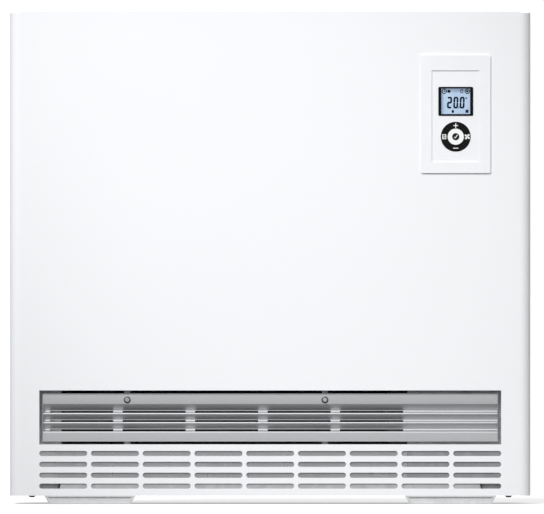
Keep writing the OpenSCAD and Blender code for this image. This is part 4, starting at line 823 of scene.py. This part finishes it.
pan_seat = 12.0 * mm                      # the front panel's lower fold, which its screws go up into
rear_seat = 119.0 * mm                    # the rear panel's outer face
a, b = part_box("front_screws")
control_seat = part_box("control_screws")[1].y - head_h * mm
sets = {
    "front_screws": (
        casing_screw, [(x, (a.y + b.y) / 2, pan_seat)
                       for x in (a.x + casing_head_r * mm, b.x - casing_head_r * mm)],
        [(math.pi / 2, 0, turn) for turn in (0.3, 1.1)]),
    "grille_screws": (
        casing_screw, middles("grille_screws", 2, 1, front * mm), [(0, 0.5, 0), (0, 1.2, 0)]),
    "rear_screws": (
        casing_screw, middles("rear_screws", 2, 3, rear_seat),
        [(0, 0.2 + 0.4 * k, math.pi) for k in range(6)]),
    "control_screws": (
        small_screw, middles("control_screws", 2, 2, control_seat, small_head_r),
        [(0, 0.3 * k, math.pi) for k in range(4)]),
}
for node, (shape, points, turns) in sets.items():
    made = lay_out(node + "_detail", shape, points, turns, "screw_zinc", "casing")
    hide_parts(node)
    ys = [v.co.y for v in made.data.vertices]
    node_low, node_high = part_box(node)
    off = [round((min(ys) - node_low.y) / mm, 2), round((max(ys) - node_high.y) / mm, 2)]
    print(node, len(points), "screws,", len(made.data.polygons), "faces, y off by", off)
for shape in (casing_screw, small_screw):
    bpy.data.objects.remove(shape)

# %% [markdown]
# ## Lint net
#
# The intake slots show an even grey: a fine net of coated wire, held in the filter's frame. A
# texture with holes would need transparency, so the wires are real. Only their places follow a
# rule: the tree lays upright wires on a row of points, level wires on a column of points, and
# each set rests against the other as in a welded net.

# %% The tree that lays a net
net_tree, given = new_tree("wire_net", [
    ("Start", "Vector"), ("Width", "Float"), ("Height", "Float"), ("Pitch", "Float"),
    ("Wire", "Float"), ("Finish", "Material")])

def wires(span, run, direction, stand):
    """Parallel wires: one every pitch along the span, each as long as the run."""
    across = "X" if direction == "Z" else "Z"
    count = both(net_tree, span, given["Pitch"], "DIVIDE")
    step = grow(net_tree, "ShaderNodeCombineXYZ", {across: given["Pitch"]})
    row = grow(net_tree, "GeometryNodeMeshLine", {"Count": count, "Offset": step.outputs[0]})
    size = grow(net_tree, "ShaderNodeCombineXYZ", {
        across: given["Wire"], "Y": given["Wire"], direction: run})
    one_wire = grow(net_tree, "GeometryNodeMeshCube", {"Size": size.outputs[0]})
    shift = grow(net_tree, "ShaderNodeCombineXYZ", {
        direction: both(net_tree, run, 0.5), "Y": both(net_tree, given["Wire"], stand)})
    moved = grow(net_tree, "GeometryNodeSetPosition", {
        "Geometry": one_wire.outputs[0], "Offset": shift.outputs[0]})
    start = grow(net_tree, "GeometryNodeSetPosition", {
        "Geometry": row.outputs[0], "Offset": given["Start"]})
    return grow(net_tree, "GeometryNodeInstanceOnPoints", {
        "Points": start.outputs[0], "Instance": moved.outputs[0]}).outputs[0]

net_both = grow(net_tree, "GeometryNodeJoinGeometry")
net_tree.links.new(wires(given["Width"], given["Height"], "Z", 0.5), net_both.inputs[0])
net_tree.links.new(wires(given["Height"], given["Width"], "X", -0.5), net_both.inputs[0])
close_tree(net_tree, net_both.outputs[0], given["Finish"])

# %% Lay the net in the filter
a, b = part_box("lint_filter")
inset, blank_end, wire, wire_pitch = 2.0 * mm, 24 * mm, 0.7 * mm, 1.5 * mm
clearance = 0.05 * mm                     # between the wires and the frame's front
net = mesh_object("lint_net", [], [])
use_tree(net, net_tree, {
    "Start": (a.x + blank_end, a.y + wire + clearance, a.z + inset),
    "Width": b.x - a.x - blank_end - inset, "Height": b.z - a.z - 2 * inset,
    "Pitch": wire_pitch, "Wire": wire, "Finish": finishes["filter_wire"]})
made_real(net)
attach(net, "casing")
net_box = [round(c / mm, 1) for v in (net.bound_box[0], net.bound_box[6]) for c in v]
print("net:", len(net.data.polygons), "faces; box", net_box)

# %% [markdown]
# ## Prints on the keys and the display
#
# Icons and digits are thin layers of ink. A plane with a picture would need an image; a flat
# outline with a few hundredths of a millimetre of thickness needs only its points, and it stays
# sharp from close by. Every outline is drawn in millimetres about the middle of its key or of
# the display.

# %% Outlines
def circle(r, n=40, at=(0, 0)):
    """A round outline with n corners."""
    return [(at[0] + r * math.cos(2 * math.pi * i / n), at[1] + r * math.sin(2 * math.pi * i / n))
            for i in range(n)]

def bar(w, h, at=(0, 0), turn=0.0):
    """A rectangle of w by h about a point, turned by degrees."""
    c, s = math.cos(math.radians(turn)), math.sin(math.radians(turn))
    return [(at[0] + x * c - z * s, at[1] + x * s + z * c)
            for x, z in ((-w / 2, -h / 2), (w / 2, -h / 2), (w / 2, h / 2), (-w / 2, h / 2))]

def arc_band(r0, r1, a0, a1, at=(0, 0), n=28):
    """Part of a ring between two angles."""
    angles = [math.radians(a0 + (a1 - a0) * i / n) for i in range(n + 1)]
    outer = [(at[0] + r1 * math.cos(a), at[1] + r1 * math.sin(a)) for a in angles]
    inner = [(at[0] + r0 * math.cos(a), at[1] + r0 * math.sin(a)) for a in reversed(angles)]
    return outer + inner

def ring(r0, r1, at=(0, 0)):
    """A whole ring, as two halves."""
    return [arc_band(r0, r1, 0, 180, at), arc_band(r0, r1, 180, 360, at)]

def line_strip(points, width):
    """A stroke of even width along a few points."""
    left, right = [], []
    for i, (x, z) in enumerate(points):
        x0, z0 = points[max(i - 1, 0)]
        x1, z1 = points[min(i + 1, len(points) - 1)]
        d = math.hypot(x1 - x0, z1 - z0)
        nx, nz = -(z1 - z0) / d * width / 2, (x1 - x0) / d * width / 2
        left.append((x + nx, z + nz))
        right.append((x - nx, z - nz))
    return right + left[::-1]

def print_layer(name, outlines, centre, front, thickness, finish, body):
    """Flat outlines in X and Z about centre, from front back by thickness, all in mm."""
    bm = bmesh.new()
    for outline in outlines:
        verts = [bm.verts.new(((centre[0] + x) * mm, front * mm, (centre[1] + z) * mm))
                 for x, z in outline]
        face = bm.faces.new(verts)
        face.normal_update()
        if face.normal.y > 0:
            face.normal_flip()
        for part in bmesh.ops.extrude_face_region(bm, geom=[face])["geom"]:
            if isinstance(part, bmesh.types.BMVert):
                part.co.y += thickness * mm
    bmesh.ops.recalc_face_normals(bm, faces=bm.faces[:])
    bmesh.ops.triangulate(bm, faces=[f for f in bm.faces if len(f.verts) > 4])
    obj = object_from(name, bm)
    obj.data.materials.append(finishes[finish])
    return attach(obj, body)

# %% Icons of the ring keys
ring_middle = (253.0, 501.7)
key_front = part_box("plus_key")[0].y / mm
ink = 0.06                                # thickness of a print
radius, plus_in = 15.7, 0.5               # the prints' circle; the plus sits this far inside it
stroke_w = 1.1

plus = [bar(6.4, stroke_w), bar(stroke_w, 2.65, (0, 1.875)), bar(stroke_w, 2.65, (0, -1.875))]
chart = [bar(5.4, stroke_w, (0, 2.75)), bar(5.4, stroke_w, (0, -2.75)),
         bar(stroke_w, 4.4, (-2.15, 0)), bar(stroke_w, 4.4, (2.15, 0)),
         line_strip([(-1.1, -1.3), (-0.2, 0.7), (0.4, -0.5), (1.2, 1.2)], 0.9)]
blade = [(0.2, 0.9), (0.9, 0.5), (2.0, 0.4), (3.1, 0.9), (3.7, 2.0), (3.3, 2.9), (2.3, 3.2),
         (1.1, 2.7), (0.4, 1.9)]
blades = [[(x * math.cos(a) - z * math.sin(a), x * math.sin(a) + z * math.cos(a)) for x, z in blade]
          for a in (math.radians(d) for d in (10, 100, 190, 280))]
for key, outlines, (x, z) in (("plus", plus, (0, radius - plus_in)),
                              ("minus", [bar(7.0, stroke_w)], (0, -radius)),
                              ("mode", chart, (-radius, 0)),
                              ("fan", blades + [circle(1.0, 16)], (radius, 0))):
    print_layer(key + "_print", outlines, (ring_middle[0] + x, ring_middle[1] + z),
                key_front - ink, ink, "print_white", key + "_key")

# %% Black disc and tick of the middle key
ok_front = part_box("ok_key")[0].y / mm
tick = line_strip([(-2.1, -0.1), (-0.7, -2.2), (2.4, 2.7)], 1.0)
print_layer("ok_disc", [circle(4.9, 48)], ring_middle, ok_front - ink, ink,
            "print_black", "ok_key")
print_layer("ok_tick", [tick], ring_middle, ok_front - 2 * ink, ink,
            "print_white", "ok_key")
print("keys' front at y", round(key_front, 2), "mm, middle key's at", round(ok_front, 2))

# %% [markdown]
# ### Digits
#
# A seven-segment figure has three lying bars and four standing ones, pointed where they meet.
# Each kind of bar is modelled once, and the tree that sets the screws lays it out: every point
# carries the angle at which its bar stands, so the figures lean a little as printed ones do.

# %% Model the two bars
window_low, window_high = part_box("display_window")
display_middle = ((window_low.x + window_high.x) / 2 / mm, (window_low.z + window_high.z) / 2 / mm)
lcd_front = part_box("lcd_module")[0].y
digit_w, digit_h, stroke, lean = 4.3, 13.5, 2.5, math.radians(2)
lcd_layer = 0.08                          # thickness of a bar

def lcd_bar(name, half, point):
    """A six-cornered bar of the display, pointed at both ends."""
    outline = ((-half, 0), (point - half, -stroke / 2), (half - point, -stroke / 2),
               (half, 0), (half - point, stroke / 2), (point - half, stroke / 2))
    sides = [(i, i + 6, (i + 1) % 6 + 6, (i + 1) % 6) for i in range(6)]
    return mesh_object(name, [(x * mm, y * mm, z * mm) for y in (0, lcd_layer) for x, z in outline],
                       [(0, 1, 2, 3, 4, 5), (11, 10, 9, 8, 7, 6)] + sides)

# each bar reaches a little past its figure's corner, so that neighbours overlap at their tips
lying = lcd_bar("lying_bar", half=digit_w / 2 + 0.65, point=0.6)
standing = lcd_bar("standing_bar", half=digit_h / 4 + 0.3, point=1.1)

# %% Lay out the digits
flat_at = {"top": digit_h / 2, "middle": 0.0, "bottom": -digit_h / 2}
tall_at = {"upper_left": (-1, 1), "upper_right": (1, 1),
           "lower_left": (-1, -1), "lower_right": (1, -1)}
lit_segments = {"2": "top upper_right middle lower_left bottom",
                "0": "top upper_left upper_right lower_left lower_right bottom"}
drop = 1.8                                # the figures stand this much below the window's middle
flat_points, tall_points = [], []
for figure, middle_x in zip("200", (-8.4, 0.2, 8.8)):
    for part in lit_segments[figure].split():
        if part in flat_at:
            z = flat_at[part]
            flat_points.append((middle_x + z * math.tan(lean), z - drop))
        else:
            side, up = tall_at[part]
            z = up * digit_h / 4
            tall_points.append((middle_x + side * digit_w / 2 + z * math.tan(lean), z - drop))

def on_lcd(points, proud=0.0):
    """Places on the panel; proud lifts what would share a face with its neighbour."""
    return [((display_middle[0] + x) * mm, lcd_front - (lcd_layer + proud) * mm,
             (display_middle[1] + z) * mm) for x, z in points]

upright = math.radians(90) - lean
lay_out("digit_bars", lying, on_lcd(flat_points, 0.01), [(0, 0, 0)] * len(flat_points),
        "lcd_ink", "casing")
lay_out("digit_posts", standing, on_lcd(tall_points), [(0, -upright, 0)] * len(tall_points),
        "lcd_ink", "casing")
for shape in (lying, standing):
    bpy.data.objects.remove(shape)
print(len(flat_points), "lying and", len(tall_points), "standing segments")

# %% [markdown]
# ### Border of the glass
#
# A display's glass has a black border printed on it, which hides the rim of the panel behind.
# Four flat bars of the same ink do it: a mask in the glass's finish would soften its edge.

# %% Black border printed on the glass
glass_w, glass_h = (window_high.x - window_low.x) / mm, (window_high.z - window_low.z) / mm
rim_w, rim_h = 0.95, 0.50                 # the outer 0.3 and 0.1 of these lie under the bezel
border = [bar(rim_w, glass_h, (side * (glass_w - rim_w) / 2, 0)) for side in (-1, 1)]
border += [bar(glass_w - 2 * rim_w, rim_h, (0, up * (glass_h - rim_h) / 2)) for up in (-1, 1)]
print_layer("glass_border", border, display_middle, window_low.y / mm - ink, ink,
            "bezel_gloss", "casing")
print("glass", round(glass_w, 2), "x", round(glass_h, 2), "mm, with", len(border), "black bars")

# %% [markdown]
# ### Symbols of the display
#
# Round the digits stand the small signs that such a display shows. They are generic ones, bold
# enough to read as marks at the photograph's distance, each at its place from the window's middle.

# %% Symbols round the digits
clock = ring(2.5, 3.6, (-15.6, 13.6)) + [bar(0.9, 2.4, (-15.6, 14.3)), bar(2.0, 0.9, (-14.9, 13.4))]
comfort = [[(-9.2 + r * math.cos(math.pi * k / 8), 13.6 + r * math.sin(math.pi * k / 8))
            for k in range(16) for r in ((2.9,) if k % 2 else (1.8,))]]
dial = [arc_band(1.7, 2.7, 40, 320, (8.6, 13.8)), bar(0.9, 2.2, (9.4, 14.4), -40)]
programme = ring(2.5, 3.6, (15.8, 13.6)) + [circle(1.6, 20, (15.8, 13.6))]
water_drop = [[(-3.9, -10.6), (-5.7, -13.6), (-5.2, -15.4), (-3.9, -16.1), (-2.6, -15.4),
               (-2.1, -13.6)]]
house = [[(12.4, -13.2), (15.4, -10.8), (18.4, -13.2), (17.5, -13.2), (17.5, -15.7), (13.3, -15.7),
          (13.3, -13.2)]]
point_and_degree = [circle(0.9, 12, (4.3, -8.9))] + ring(0.45, 1.3, (14.4, 4.3))
symbols = clock + comfort + dial + programme + water_drop + house + point_and_degree
print_layer("lcd_symbols", symbols, display_middle, lcd_front / mm - lcd_layer, lcd_layer,
            "lcd_ink", "casing")
print(len(symbols), "outlines on the display")

# %% [markdown]
# ## Close the lesson
#
# The box of the imported model is measured again after dressing, and how far each side has grown
# is printed: the looks must not make the heater any bigger.

# %% Measure and finish
dressed_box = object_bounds()
grown = [[round((b - a) / mm, 3) for a, b in zip(p, q)] for p, q in zip(cad_box, dressed_box)]
print("grown by mm:", grown)
